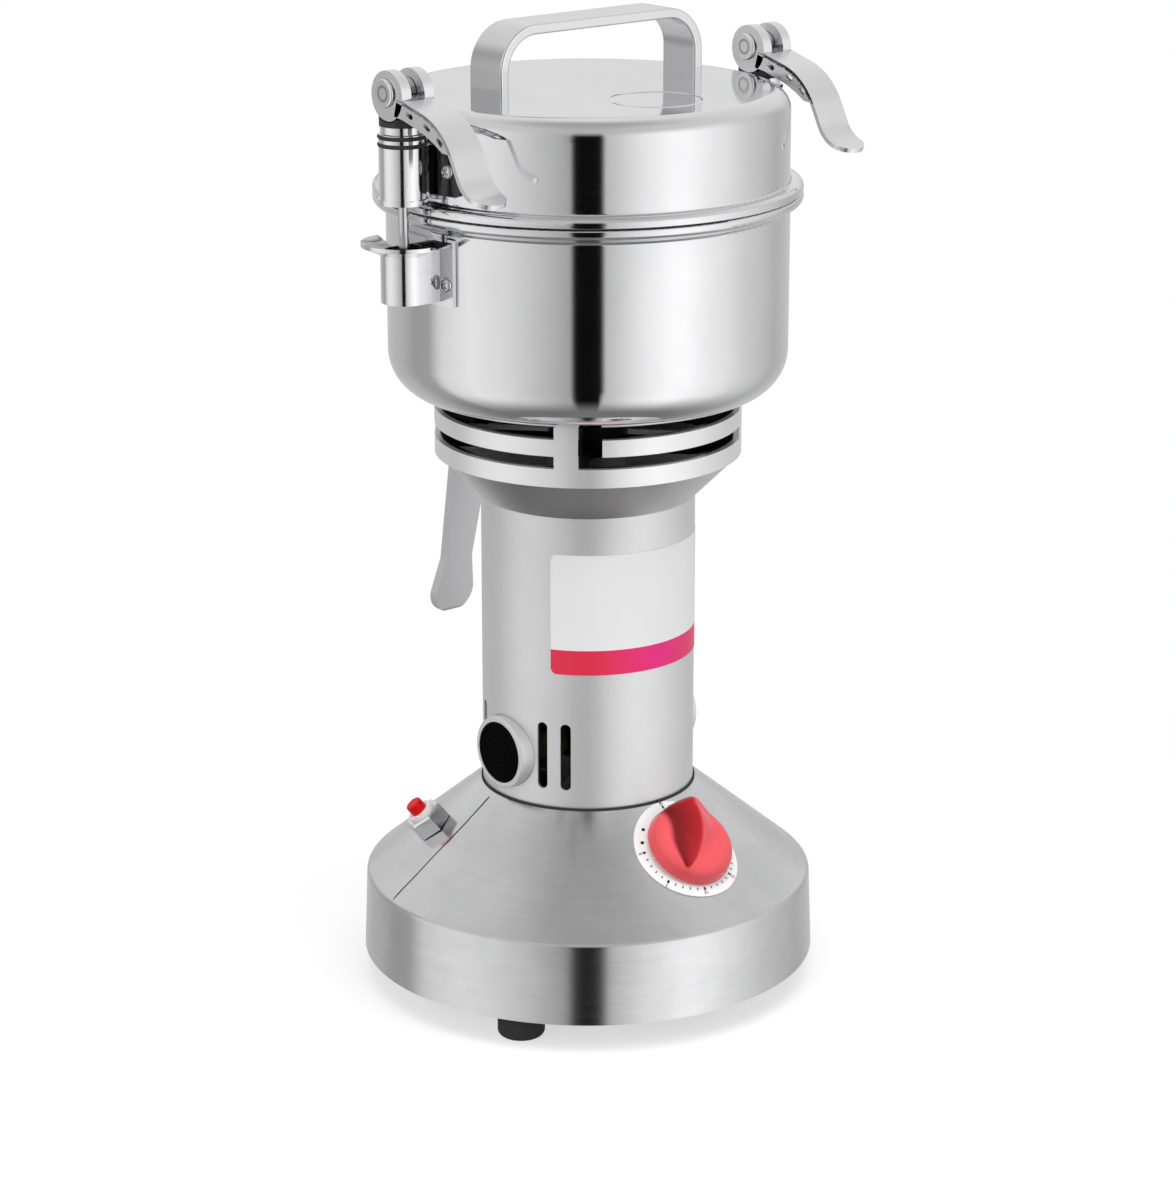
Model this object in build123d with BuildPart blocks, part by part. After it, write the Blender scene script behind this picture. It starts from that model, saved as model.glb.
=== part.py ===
"""Electric grain mill: spun steel base and bowl, machined neck, clamp-down lid and a vertical motor.

Sizes are millimetres. +Z is up and Z = 0 is the plane that the feet stand on. The origin is on the
motor axis. The front, with the timer knob, faces -Y. An azimuth is counted from the front towards +X.
"""
from build123d import *
from math import cos, sin, tan, degrees, radians
import os

os.makedirs("parts", exist_ok=True)

# ---------------------------------------------------------------- clearances
seat_gap = 0.15  # between curved pieces that are fastened together
body_gap = 0.3  # between pieces that move past each other
running_fit = 0.05  # radial, a shaft in its bore
screw_clearance = 0.2  # radial, a screw in its hole
coil_gap = 0.3  # between a winding and its core
tee_slot_clearance = 0.5  # all round the clamp's cross bar in its slot
pin_side_gap = 0.2  # between a lever and the head of its pin
lid_flange_gap = 0.6  # between the lid's flange and the bowl's rim

# ---------------------------------------------------------------- base shell
skirt_bottom_radius = 93.0
skirt_top_radius = 91.7
skirt_bottom_z = 12.0
skirt_height = 32.8
shell_corner = 2.5
cone_slope = 39.2  # degrees above the horizontal
shell_wall = 1.2

# ---------------------------------------------------------------- base plate, feet, ties
plate_recess = 0.6
plate_thickness = 2.0
vent_slot_length = 18.0
vent_slot_width = 3.5
vent_slot_count = 12
vent_ring_radius = 58.0
first_vent_angle = 15.0
foot_count = 3
foot_ring_radius = 78.0
foot_radius = 9.5
foot_edge = 2.5
foot_recess_radius = 4.6
foot_recess_depth = 4.0
foot_screw_radius = 2.0
foot_screw_head = 3.8
foot_screw_head_height = 2.4
foot_screw_tail = 1.5
foot_nut_width = 7.0
foot_nut_height = 3.2
tie_count = 3
tie_azimuth = 30.0
tie_ring_radius = 41.0
tie_radius = 2.4
tie_head_radius = 4.2
tie_head_height = 2.6
tie_end_depth = 1.0  # below the frame ring's top

# ---------------------------------------------------------------- timer
dial_offset = 18.8  # distance of the dial's centre from the motor tube's wall
dial_plate_radius = 22.8
dial_plate_thickness = 0.7
dial_plate_gap = 0.1  # between the cone and the plate
knob_radius = 18.2
knob_draft = 3.5  # degrees
knob_height = 15.6
knob_dome = 2.2
knob_rise = 1.6  # height of the knob's rim above the cone
knob_base_height = 4.6
knob_scoop_radius = 15.0
knob_ridge_half_width = 3.1
knob_ridge_taper = 9.0  # degrees, each side of the ridge
knob_hollow_radius = 8.8
knob_hollow_depth = 3.4
knob_shaft_grip = 9.6
timer_shaft_radius = 3.0
timer_shaft_depth = 14.0
timer_body_radius = 14.5
timer_body_height = 20.0
timer_body_edge = 0.8
timer_neck_radius = 4.8
timer_neck_height = 3.4
timer_nut_width = 12.0
timer_nut_height = 2.2

# ---------------------------------------------------------------- overload reset
reset_azimuth = -117.0
reset_radius = 65.0
reset_nut_width = 14.6
reset_nut_height = 7.6
reset_nut_edge = 0.7
reset_nut_turn = 12.0  # degrees
breaker_neck_radius = 5.5
breaker_neck_height = 9.4
breaker_body_radius = 7.5
breaker_body_length = 26.0
button_radius = 3.5
button_proud = 4.4
button_travel = 2.5
button_edge = 0.8

# ---------------------------------------------------------------- cord inlet
gland_z = 28.0
gland_bore_radius = 3.6
gland_neck_radius = 6.0
gland_flange_radius = 8.0
gland_flange_thickness = 1.8
gland_flange_edge = 1.1
gland_inner_length = 9.0

# ---------------------------------------------------------------- motor housing
tube_radius = 43.2
tube_wall = 2.5
tube_top_z = 205.5
vent_bottom_z = 92.0
vent_height = 28.0
vent_width = 4.3
vent_offsets = (25.0, 38.0)  # degrees either side of each brush
brush_z = 104.0
brush_boss_radius = 14.8
brush_boss_face = 47.0
brush_boss_root = 39.6
brush_boss_edge = 1.0
brush_cap_radius = 12.5
brush_cap_depth = 3.2
brush_cap_proud = 0.4
coin_slot_length = 15.0
coin_slot_width = 1.8
coin_slot_depth = 1.0
holder_width = 9.0
holder_height = 11.0
holder_inner_end = 15.0
brush_width = 6.0
brush_height = 8.0
brush_length = 14.0
brush_clearance = 0.2
spring_radius = 2.6
spring_wire_radius = 0.45
spring_turns = 5
spring_end_gap = 0.2

# ---------------------------------------------------------------- motor
shaft_radius = 4.0
shaft_chamfer = 0.6
bearing_radius = 11.0
bearing_width = 7.0
bearing_ring = 2.1
shield_recess = 0.6
lower_bearing_z = 88.0
upper_bearing_z = 208.0
frame_ring_inner_radius = 36.0
frame_ring_outer_radius = 46.0
frame_ring_height = 6.4
frame_spigot_height = 6.0
frame_spigot_wall = 2.2
bearing_cup_wall = 2.2
shaft_end_length = 2.0  # below the lower bearing
shaft_hole_gap = 1.5
spoke_width = 8.0
commutator_radius = 11.5
commutator_bottom_z = 97.5
commutator_height = 14.0
commutator_bars = 12
commutator_slit_depth = 0.8
commutator_slit_width = 0.8
commutator_riser = 1.6
commutator_riser_height = 2.0
armature_radius = 20.0
armature_slots = 12
armature_slot_width = 3.0
armature_slot_depth = 8.0
stack_bottom_z = 132.0
stack_height = 36.0
air_gap = 0.7
winding_overhang = 9.0
winding_inset = 1.5
winding_draft = 25.0  # degrees
pole_half_width = 14.7
coil_width = 6.2
coil_inner_y = 24.0
coil_depth = 6.0
yoke_depth = 5.5
yoke_half_angle = 34.0  # degrees
fan_bottom_z = 182.0
fan_radius = 31.0
fan_hub_radius = 8.0
fan_disc_thickness = 1.6
fan_blade_height = 11.0
fan_blade_count = 10
fan_blade_length = 18.0
fan_blade_angle = 24.0  # degrees
tie_rod_radius = 1.9
tie_rod_ring_radius = 36.0
tie_rod_grip = 8.0  # how far the rods reach into the neck

# ---------------------------------------------------------------- neck
neck_radius = 61.5
neck_cone_radius = 60.7
neck_flange_bottom_z = 223.0
neck_flange_top_z = 230.4
louvre_bottom_z = 235.3
louvre_top_z = 242.0
bowl_floor_z = 247.5
neck_wall = 4.5
neck_skin = 2.3
neck_spigot_height = 7.0
post_azimuth = -48.0
post_count = 4
post_width = 9.5
post_inner_radius = 47.5
hub_radius = 16.0
notch_width = 9.4

# ---------------------------------------------------------------- pour handle
strap_thickness = 4.2
strap_lean = 12.0  # degrees from the vertical
strap_top_radius = 71.2
strap_bend = 6.5
strap_inner_radius = 57.0
strap_screw_x = 6.0
strap_screw_radius = 1.6
strap_screw_depth = 6.0
strap_top_width = 20.0
strap_waist_width = 13.7
strap_waist_z = 158.0
paddle_radius = 9.8
paddle_half_width = 9.4
paddle_z = 145.0

# ---------------------------------------------------------------- bowl
bowl_radius = 79.6
bowl_wall = 1.2
bowl_corner = 18.0
rim_bottom_z = 322.4
rim_joint_z = 328.4
rim_radius = 84.7
rim_bead_rise = 3.0
rim_bead = 2.2
rim_root = 1.5
rim_edge = 0.8
rim_inner_edge = 0.4
bowl_screw_radius = 2.0
bowl_screw_head = 3.8
bowl_screw_head_height = 1.8
bowl_screw_dome = 1.0
bowl_screw_ring = 54.0
bowl_screw_depth = 10.0
seal_radius = 9.0
seal_lip_height = 4.5
seal_dome = 2.0
seal_bottom_gap = 1.0  # above the upper bearing

# ---------------------------------------------------------------- blades
blade_thickness = 2.0
blade_width = 20.0
blade_tip_sweep = 4.0
blade_bevel = 1.4
lower_blade_z = 256.0
lower_blade_length = 136.0
upper_blade_length = 116.0
blade_spacer_height = 7.0
blade_spacer_radius = 8.0
upper_blade_lift = 24.0  # degrees that the upper wings bend up
upper_blade_flat = 30.0
upper_blade_bend = 4.0
blade_nut_width = 17.0
blade_nut_height = 6.5
blade_nut_dome = 3.0
blade_nut_dome_inset = 1.0
blade_nut_dome_fillet = 2.7

# ---------------------------------------------------------------- lid
lid_radius = 79.3
lid_wall = 1.2
lid_top_z = 368.5
lid_shoulder = 8.0
lid_flange_top_z = 333.0
lid_flange_corner = 2.6
lid_seal_inner_radius = 79.6
lid_seal_width = 3.0
lid_seal_height = 1.8
handle_length = 102.0
handle_top_z = 397.0
handle_width = 19.4
handle_thickness = 4.0
handle_corner = 17.5
handle_edge = 0.8

# ---------------------------------------------------------------- clamps
clamp_x = 91.0
barrel_radius = 9.0
barrel_bottom_z = 334.0
barrel_top_z = 360.6
barrel_foot_radius = 9.6
barrel_foot_height = 2.0
barrel_bore_radius = 5.0
bracket_bottom_z = 337.0
bracket_height = 19.0
bracket_width = 40.0
bracket_plate = 2.0
bracket_corner = 3.5
saddle_width = 13.0
o_ring_depths = (1.1, 4.1)  # below the barrel's top
o_ring_radius = 0.8
o_ring_centre_radius = 8.7
collar_radius = 8.3
collar_height = 2.7
collar_stem_length = 22.0
washer_radius = 8.7
washer_height = 4.0
washer_centre_height = 1.9
rod_radius = 2.0
eye_radius = 5.2
eye_width = 5.6
pin_radius = 2.5
pin_head_radius = 5.5
pin_head_height = 1.2
pin_head_edge = 0.8
cam_radius = 9.5
cam_offset = 1.2
cam_angle = 40.0  # degrees past the cam's highest point with the lever down
lever_width = 15.0
lever_sheet = 1.8
lever_reach = 71.0
lever_tip_drop = 31.5
ear_thickness = 4.4
flange_hole_length = 4.2
flange_hole_width = 2.0
flange_holes = ((22.0, -3.2, -4.0), (32.5, -4.4, -18.0), (41.5, -8.8, -40.0))  # reach, height, tilt

# ---------------------------------------------------------------- catches
catch_top_z = 319.3
catch_bottom_z = 296.0
catch_lip_reach = 16.4
catch_lip_drop = 3.2
catch_sheet = 1.6
catch_plate_bottom_z = 294.5
catch_plate_height = 25.0
catch_plate_width = 31.0
shelf_bottom_z = 303.0
shelf_thickness = 2.0
tee_radius = 2.1
tee_length = 12.0
clamp_screw_radius = 1.6
clamp_screw_head = 2.9
clamp_screw_head_height = 1.5
catch_screw_azimuths = (-8.6, 8.6)  # degrees from the clamp's own azimuth
catch_screw_z = 303.0
barrel_screw_azimuths = (-9.6, 9.6)
barrel_screw_z = 346.5

# ---------------------------------------------------------------- derived sizes
slope_rise = tan(radians(cone_slope))
skirt_top_z = skirt_bottom_z + skirt_height
tube_inner_radius = tube_radius - tube_wall
shell_bore_radius = tube_radius + seat_gap
cone_top_z = skirt_top_z + (skirt_top_radius - shell_bore_radius) * slope_rise
wall_rise = shell_wall / cos(radians(cone_slope))
plate_bottom_z = skirt_bottom_z + plate_recess
plate_top_z = plate_bottom_z + plate_thickness
plate_radius = skirt_top_radius - shell_wall - seat_gap
frame_ring_top_z = cone_top_z - (frame_ring_outer_radius - shell_bore_radius) * slope_rise - wall_rise - seat_gap
frame_ring_bottom_z = frame_ring_top_z - frame_ring_height
stack_top_z = stack_bottom_z + stack_height
stator_radius = tube_inner_radius - seat_gap
shaft_bottom_z = lower_bearing_z - shaft_end_length
upper_blade_z = lower_blade_z + blade_thickness + blade_spacer_height
blade_nut_z = upper_blade_z + blade_thickness
shaft_top_z = blade_nut_z + blade_nut_height
blade_bore_radius = shaft_radius + running_fit
bowl_inner_radius = bowl_radius - bowl_wall
dial_radius = tube_radius + dial_offset
lid_flange_bottom_z = rim_joint_z + lid_flange_gap
washer_bottom_z = barrel_top_z + body_gap + collar_height
cam_rest_depth = cam_radius + cam_offset * cos(radians(cam_angle))
pivot_z = washer_bottom_z + washer_centre_height + body_gap + cam_rest_depth
tee_z = shelf_bottom_z - body_gap - tee_radius
skirt_draft = (skirt_bottom_radius - skirt_top_radius) / skirt_height
gland_face_radius = skirt_bottom_radius - (gland_z - gland_flange_radius - skirt_bottom_z) * skirt_draft + seat_gap
strap_screw_y = neck_radius - neck_wall / 2


def around(radius, azimuth, z=0.0):
    """A point at a radius and an azimuth."""
    angle = radians(azimuth)
    return Vector(radius * sin(angle), -radius * cos(angle), z)


def cone_z(radius):
    """Height of the base cone's outer face at a radius."""
    return skirt_top_z + (skirt_top_radius - radius) * slope_rise


def cone_plane(radius, azimuth, height=0.0):
    """The plane that touches the cone, lifted along its normal; its y axis runs upslope."""
    outward = around(1.0, azimuth)
    normal = outward * sin(radians(cone_slope)) + Vector(0, 0, cos(radians(cone_slope)))
    origin = around(radius, azimuth, cone_z(radius)) + normal * height
    return Plane(origin=origin, x_dir=around(1.0, azimuth + 90.0), z_dir=normal)


def radial_plane(azimuth, radius=0.0, z=0.0):
    """An upright plane that faces outwards at an azimuth; its y axis is up."""
    return Plane(origin=around(radius, azimuth, z), x_dir=around(1.0, azimuth + 90.0), z_dir=around(1.0, azimuth))


def half_plane(azimuth, z=0.0):
    """An upright plane through the motor axis; its x axis runs outwards and its y axis is up."""
    return Plane(origin=(0, 0, z), x_dir=around(1.0, azimuth), z_dir=around(1.0, azimuth - 90.0))


def ring_points(radius, count, first_azimuth):
    """Points spaced evenly round the motor axis."""
    return [around(radius, first_azimuth + 360.0 * step / count) for step in range(count)]


lever_points = (
    (6.5, 7.2),
    (19.0, 0.0),
    (37.0, 0.8),
    (60.0, -25.0),
    (lever_reach, -lever_tip_drop),
)
lever_bends = (14.0, 20.0, 14.0)
flange_points = (
    (6.5, 7.2),
    (19.0, 0.0),
    (31.0, 0.0),
    (45.0, -9.2),
    (57.0, -22.4),
    (45.0, -13.6),
    (34.0, -8.8),
    (20.0, -6.6),
    (8.5, -6.6),
)

foot_points = ring_points(foot_ring_radius, foot_count, 180.0)
tie_points = ring_points(tie_ring_radius, tie_count, tie_azimuth)
post_azimuths = [post_azimuth + 360.0 * step / post_count for step in range(post_count)]
tie_rod_points = [around(tie_rod_ring_radius, post_azimuths[1]), around(tie_rod_ring_radius, post_azimuths[3])]
bowl_screw_points = [around(bowl_screw_ring, azimuth) for azimuth in post_azimuths]
dial_plane = cone_plane(dial_radius, 0.0)
reset_plane = cone_plane(reset_radius, reset_azimuth)

# ================================================================ base
with BuildPart() as base_shell:
    with BuildSketch(Plane.XZ):
        with BuildLine():
            FilletPolyline(
                (skirt_bottom_radius, skirt_bottom_z),
                (skirt_top_radius, skirt_top_z),
                (shell_bore_radius, cone_top_z),
                radius=shell_corner,
            )
            offset(amount=shell_wall, side=Side.LEFT)
        make_face()
    revolve(axis=Axis.Z)
    with BuildSketch(Plane.XY.offset(skirt_top_z)):
        Circle(shell_bore_radius)
    extrude(amount=cone_top_z, mode=Mode.SUBTRACT)
    with BuildSketch(dial_plane):
        Circle(timer_neck_radius + screw_clearance)
    extrude(amount=shell_wall * 3, both=True, mode=Mode.SUBTRACT)
    with BuildSketch(reset_plane):
        Circle(breaker_neck_radius + screw_clearance)
    extrude(amount=shell_wall * 3, both=True, mode=Mode.SUBTRACT)
    with BuildSketch(radial_plane(180.0, skirt_top_radius, gland_z)):
        Circle(gland_neck_radius + screw_clearance)
    extrude(amount=shell_wall * 3, both=True, mode=Mode.SUBTRACT)

base_shell.part.label = "base_shell"
export_step(base_shell.part, "parts/base_shell.step")

with BuildPart() as base_plate:
    with BuildSketch(Plane.XY.offset(plate_bottom_z)):
        Circle(plate_radius)
        with Locations(foot_points):
            Circle(foot_screw_radius + screw_clearance, mode=Mode.SUBTRACT)
        with Locations(tie_points):
            Circle(tie_radius + screw_clearance, mode=Mode.SUBTRACT)
        with PolarLocations(vent_ring_radius, vent_slot_count, start_angle=first_vent_angle):
            SlotOverall(vent_slot_length, vent_slot_width, mode=Mode.SUBTRACT)
    extrude(amount=plate_thickness)

base_plate.part.label = "base_plate"
export_step(base_plate.part, "parts/base_plate.step")

with BuildPart() as rubber_feet:
    with BuildSketch():
        with Locations(foot_points):
            Circle(foot_radius)
    extrude(amount=plate_bottom_z)
    fillet(rubber_feet.faces().sort_by(Axis.Z)[:foot_count].edges(), foot_edge)
    with BuildSketch():
        with Locations(foot_points):
            Circle(foot_recess_radius)
    extrude(amount=foot_recess_depth, mode=Mode.SUBTRACT)
    with BuildSketch():
        with Locations(foot_points):
            Circle(foot_screw_radius + screw_clearance)
    extrude(amount=plate_bottom_z, mode=Mode.SUBTRACT)

rubber_feet.part.label = "rubber_feet"
export_step(rubber_feet.part, "parts/rubber_feet.step")

foot_nut_top_z = plate_top_z + foot_nut_height
with BuildPart() as foot_screws:
    with BuildSketch(Plane.XY.offset(foot_recess_depth)):
        with Locations(foot_points):
            Circle(foot_screw_head)
    extrude(amount=-foot_screw_head_height)
    with BuildSketch(Plane.XY.offset(foot_recess_depth)):
        with Locations(foot_points):
            Circle(foot_screw_radius)
    extrude(amount=foot_nut_top_z + foot_screw_tail - foot_recess_depth)

foot_screws.part.label = "foot_screws"
export_step(foot_screws.part, "parts/foot_screws.step")

with BuildPart() as foot_nuts:
    with BuildSketch(Plane.XY.offset(plate_top_z)):
        with Locations(foot_points):
            RegularPolygon(foot_nut_width / 2, 6, major_radius=False)
            Circle(foot_screw_radius + running_fit, mode=Mode.SUBTRACT)
    extrude(amount=foot_nut_height)

foot_nuts.part.label = "foot_nuts"
export_step(foot_nuts.part, "parts/foot_nuts.step")

with BuildPart() as tie_bolts:
    with BuildSketch(Plane.XY.offset(plate_bottom_z)):
        with Locations(tie_points):
            Circle(tie_head_radius)
    extrude(amount=-tie_head_height)
    with BuildSketch(Plane.XY.offset(plate_bottom_z)):
        with Locations(tie_points):
            Circle(tie_radius)
    extrude(amount=frame_ring_top_z - tie_end_depth - plate_bottom_z)

tie_bolts.part.label = "tie_bolts"
export_step(tie_bolts.part, "parts/tie_bolts.step")

with BuildPart() as cable_gland:
    with BuildSketch(radial_plane(180.0, gland_face_radius, gland_z)):
        Circle(gland_flange_radius)
    extrude(amount=gland_flange_thickness)
    fillet(cable_gland.faces().sort_by(Axis.Y)[-1].edges(), gland_flange_edge)
    with BuildSketch(radial_plane(180.0, gland_face_radius, gland_z)):
        Circle(gland_neck_radius)
    extrude(amount=-gland_inner_length)
    with BuildSketch(radial_plane(180.0, gland_face_radius, gland_z)):
        Circle(gland_bore_radius)
    extrude(amount=gland_inner_length + gland_flange_thickness, both=True, mode=Mode.SUBTRACT)

cable_gland.part.label = "cable_gland"
export_step(cable_gland.part, "parts/cable_gland.step")

# ================================================================ timer
with BuildPart() as timer_dial_plate:
    with BuildSketch(Plane.XZ):
        with BuildLine():
            Polyline(
                (skirt_top_radius, skirt_top_z + dial_plate_gap),
                (shell_bore_radius, cone_top_z + dial_plate_gap),
                (shell_bore_radius, cone_top_z + dial_plate_gap + dial_plate_thickness),
                (skirt_top_radius, skirt_top_z + dial_plate_gap + dial_plate_thickness),
                close=True,
            )
        make_face()
    revolve(axis=Axis.Z)
    with BuildSketch(dial_plane):
        Circle(dial_plate_radius)
        Circle(timer_neck_radius + screw_clearance, mode=Mode.SUBTRACT)
    extrude(amount=dial_plate_radius, both=True, mode=Mode.INTERSECT)

timer_dial_plate.part.label = "timer_dial_plate"
export_step(timer_dial_plate.part, "parts/timer_dial_plate.step")



def depth_under_cone(distance, radius):
    """How far below the cone's tangent plane a flat disc has to sit to clear the curved wall."""
    return shell_wall + seat_gap + radius**2 * sin(radians(cone_slope)) / (2 * (distance - radius / 2))


timer_top = -depth_under_cone(dial_radius, timer_body_radius)
with BuildPart() as timer_body:
    with BuildSketch(dial_plane.offset(timer_top)):
        Circle(timer_body_radius)
    extrude(amount=-timer_body_height)
    chamfer(timer_body.edges().filter_by(GeomType.CIRCLE), timer_body_edge)
    with BuildSketch(dial_plane.offset(timer_top)):
        Circle(timer_neck_radius)
    extrude(amount=timer_neck_height - timer_top)
    with BuildSketch(dial_plane.offset(timer_neck_height)):
        Circle(timer_shaft_radius + running_fit)
    extrude(amount=-(timer_neck_height + timer_shaft_depth), mode=Mode.SUBTRACT)

timer_body.part.label = "timer_body"
export_step(timer_body.part, "parts/timer_body.step")

timer_nut_bottom = dial_plate_gap + dial_plate_thickness + seat_gap
with BuildPart() as timer_nut:
    with BuildSketch(dial_plane.offset(timer_nut_bottom)):
        RegularPolygon(timer_nut_width / 2, 6, major_radius=False)
        Circle(timer_neck_radius + running_fit, mode=Mode.SUBTRACT)
    extrude(amount=timer_nut_height)

timer_nut.part.label = "timer_nut"
export_step(timer_nut.part, "parts/timer_nut.step")

shaft_top = knob_rise + knob_shaft_grip
with BuildPart() as timer_shaft:
    with BuildSketch(dial_plane.offset(shaft_top)):
        Circle(timer_shaft_radius)
    extrude(amount=-(shaft_top + timer_shaft_depth - body_gap))

timer_shaft.part.label = "timer_shaft"
export_step(timer_shaft.part, "parts/timer_shaft.step")

knob_plane = dial_plane.offset(knob_rise)
scoop_shift = knob_ridge_half_width + knob_scoop_radius
with BuildPart() as timer_knob:
    with BuildSketch(knob_plane):
        Circle(knob_radius)
    extrude(amount=knob_height, taper=knob_draft)
    fillet(timer_knob.faces().sort_by(Axis(knob_plane.origin, knob_plane.z_dir))[-1].edges(), knob_dome)
    for side in (-1, 1):
        scoop_line = Plane(
            origin=knob_plane.from_local_coords((side * scoop_shift, 0, knob_base_height + knob_scoop_radius)),
            x_dir=knob_plane.x_dir,
            z_dir=knob_plane.from_local_coords((side * sin(radians(knob_ridge_taper)), 1, 0))
            - knob_plane.from_local_coords((0, 0, 0)),
        )
        with BuildSketch(scoop_line):
            Circle(knob_scoop_radius)
        extrude(amount=knob_radius * 1.6, both=True, mode=Mode.SUBTRACT)
    with BuildSketch(knob_plane):
        Circle(knob_hollow_radius)
    extrude(amount=knob_hollow_depth, mode=Mode.SUBTRACT)
    with BuildSketch(knob_plane):
        Circle(timer_shaft_radius)
    extrude(amount=shaft_top - knob_rise, mode=Mode.SUBTRACT)

timer_knob.part.label = "timer_knob"
export_step(timer_knob.part, "parts/timer_knob.step")

# ================================================================ overload reset
breaker_top = -depth_under_cone(reset_radius, breaker_body_radius)
with BuildPart() as breaker_body:
    with BuildSketch(reset_plane.offset(breaker_top)):
        Circle(breaker_body_radius)
    extrude(amount=-breaker_body_length)
    with BuildSketch(reset_plane.offset(breaker_top)):
        Circle(breaker_neck_radius)
    extrude(amount=breaker_neck_height - breaker_top)
    with BuildSketch(reset_plane.offset(breaker_neck_height)):
        Circle(button_radius + running_fit)
    extrude(amount=-(breaker_neck_height + button_travel), mode=Mode.SUBTRACT)

breaker_body.part.label = "breaker_body"
export_step(breaker_body.part, "parts/breaker_body.step")

with BuildPart() as reset_nut:
    with BuildSketch(reset_plane.offset(seat_gap)):
        RegularPolygon(reset_nut_width / 2, 6, major_radius=False, rotation=reset_nut_turn)
    extrude(amount=reset_nut_height)
    reset_axis = Axis(reset_plane.origin, reset_plane.z_dir)
    chamfer(reset_nut.faces().sort_by(reset_axis)[-1].edges(), reset_nut_edge)
    with BuildSketch(reset_plane):
        Circle(breaker_neck_radius + running_fit)
    extrude(amount=reset_nut_height * 2, mode=Mode.SUBTRACT)

reset_nut.part.label = "reset_nut"
export_step(reset_nut.part, "parts/reset_nut.step")

button_bottom = body_gap
with BuildPart() as reset_button:
    with BuildSketch(reset_plane.offset(button_bottom)):
        Circle(button_radius)
    extrude(amount=breaker_neck_height + button_proud - button_bottom)
    fillet(reset_button.faces().sort_by(reset_axis)[-1].edges(), button_edge)

reset_button.part.label = "reset_button"
export_step(reset_button.part, "parts/reset_button.step")

# ================================================================ motor housing
with BuildPart() as motor_housing:
    with BuildSketch(Plane.XY.offset(frame_ring_top_z)):
        Circle(tube_radius)
        Circle(tube_inner_radius, mode=Mode.SUBTRACT)
    extrude(amount=tube_top_z - frame_ring_top_z)
    for brush_azimuth in (-90.0, 90.0):
        with BuildSketch(radial_plane(brush_azimuth, 0.0, brush_z)):
            Circle(brush_boss_radius + seat_gap)
        extrude(amount=tube_radius * 1.5, mode=Mode.SUBTRACT)
        for vent_offset in vent_offsets:
            for side in (-1, 1):
                vent_middle_z = vent_bottom_z + vent_height / 2
                with BuildSketch(radial_plane(brush_azimuth + side * vent_offset, 0.0, vent_middle_z)):
                    SlotOverall(vent_height, vent_width, rotation=90)
                extrude(amount=tube_radius * 1.5, mode=Mode.SUBTRACT)

motor_housing.part.label = "motor_housing"
export_step(motor_housing.part, "parts/motor_housing.step")

with BuildPart() as motor_end_frame:
    with BuildSketch(Plane.XY.offset(frame_ring_bottom_z)):
        Circle(frame_ring_outer_radius)
        Circle(frame_ring_inner_radius, mode=Mode.SUBTRACT)
    extrude(amount=frame_ring_height)
    with BuildSketch(Plane.XY.offset(frame_ring_top_z)):
        Circle(tube_inner_radius - seat_gap)
        Circle(tube_inner_radius - seat_gap - frame_spigot_wall, mode=Mode.SUBTRACT)
        Circle(bearing_radius + bearing_cup_wall)
        with PolarLocations(tube_inner_radius / 2, tie_count, start_angle=tie_azimuth - 60.0):
            Rectangle(tube_inner_radius - frame_spigot_wall, spoke_width)
        Circle(shaft_radius + shaft_hole_gap, mode=Mode.SUBTRACT)
    extrude(amount=frame_spigot_height)
    with BuildSketch(Plane.XY.offset(frame_ring_top_z + frame_spigot_height)):
        Circle(bearing_radius + bearing_cup_wall)
        Circle(bearing_radius, mode=Mode.SUBTRACT)
    extrude(amount=lower_bearing_z + bearing_width - frame_ring_top_z - frame_spigot_height)
    with BuildSketch(Plane.XY.offset(lower_bearing_z)):
        Circle(bearing_radius)
    extrude(amount=bearing_width, mode=Mode.SUBTRACT)
    with BuildSketch(Plane.XY.offset(frame_ring_bottom_z)):
        with Locations(tie_points):
            Circle(tie_radius + running_fit)
    extrude(amount=frame_ring_height, mode=Mode.SUBTRACT)
    with BuildSketch(Plane.XY.offset(frame_ring_top_z)):
        with Locations(tie_rod_points):
            Circle(tie_rod_radius + 2.4)
            Circle(tie_rod_radius + running_fit, mode=Mode.SUBTRACT)
    extrude(amount=frame_spigot_height)
    with BuildSketch(Plane.XY.offset(frame_ring_top_z)):
        with Locations(tie_rod_points):
            Circle(tie_rod_radius + running_fit)
    extrude(amount=frame_spigot_height, mode=Mode.SUBTRACT)

motor_end_frame.part.label = "motor_end_frame"
export_step(motor_end_frame.part, "parts/motor_end_frame.step")

# ================================================================ brushes
with BuildPart() as brush_bosses:
    for brush_azimuth in (-90.0, 90.0):
        with BuildSketch(radial_plane(brush_azimuth, brush_boss_root, brush_z)):
            Circle(brush_boss_radius)
        extrude(amount=brush_boss_face - brush_boss_root)
        with BuildSketch(radial_plane(brush_azimuth, brush_boss_face, brush_z)):
            Circle(brush_cap_radius + seat_gap)
        extrude(amount=-brush_cap_depth, mode=Mode.SUBTRACT)
        with BuildSketch(radial_plane(brush_azimuth, brush_boss_face, brush_z)):
            Rectangle(holder_width + 2 * seat_gap, holder_height + 2 * seat_gap)
        extrude(amount=-brush_boss_face / 2, mode=Mode.SUBTRACT)
    fillet(
        brush_bosses.edges().filter_by(GeomType.CIRCLE).filter_by(
            lambda edge: abs(edge.radius - brush_boss_radius) < 0.01 and abs(edge.center().X) > tube_radius
        ),
        brush_boss_edge,
    )

brush_bosses.part.label = "brush_bosses"
export_step(brush_bosses.part, "parts/brush_bosses.step")

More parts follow.
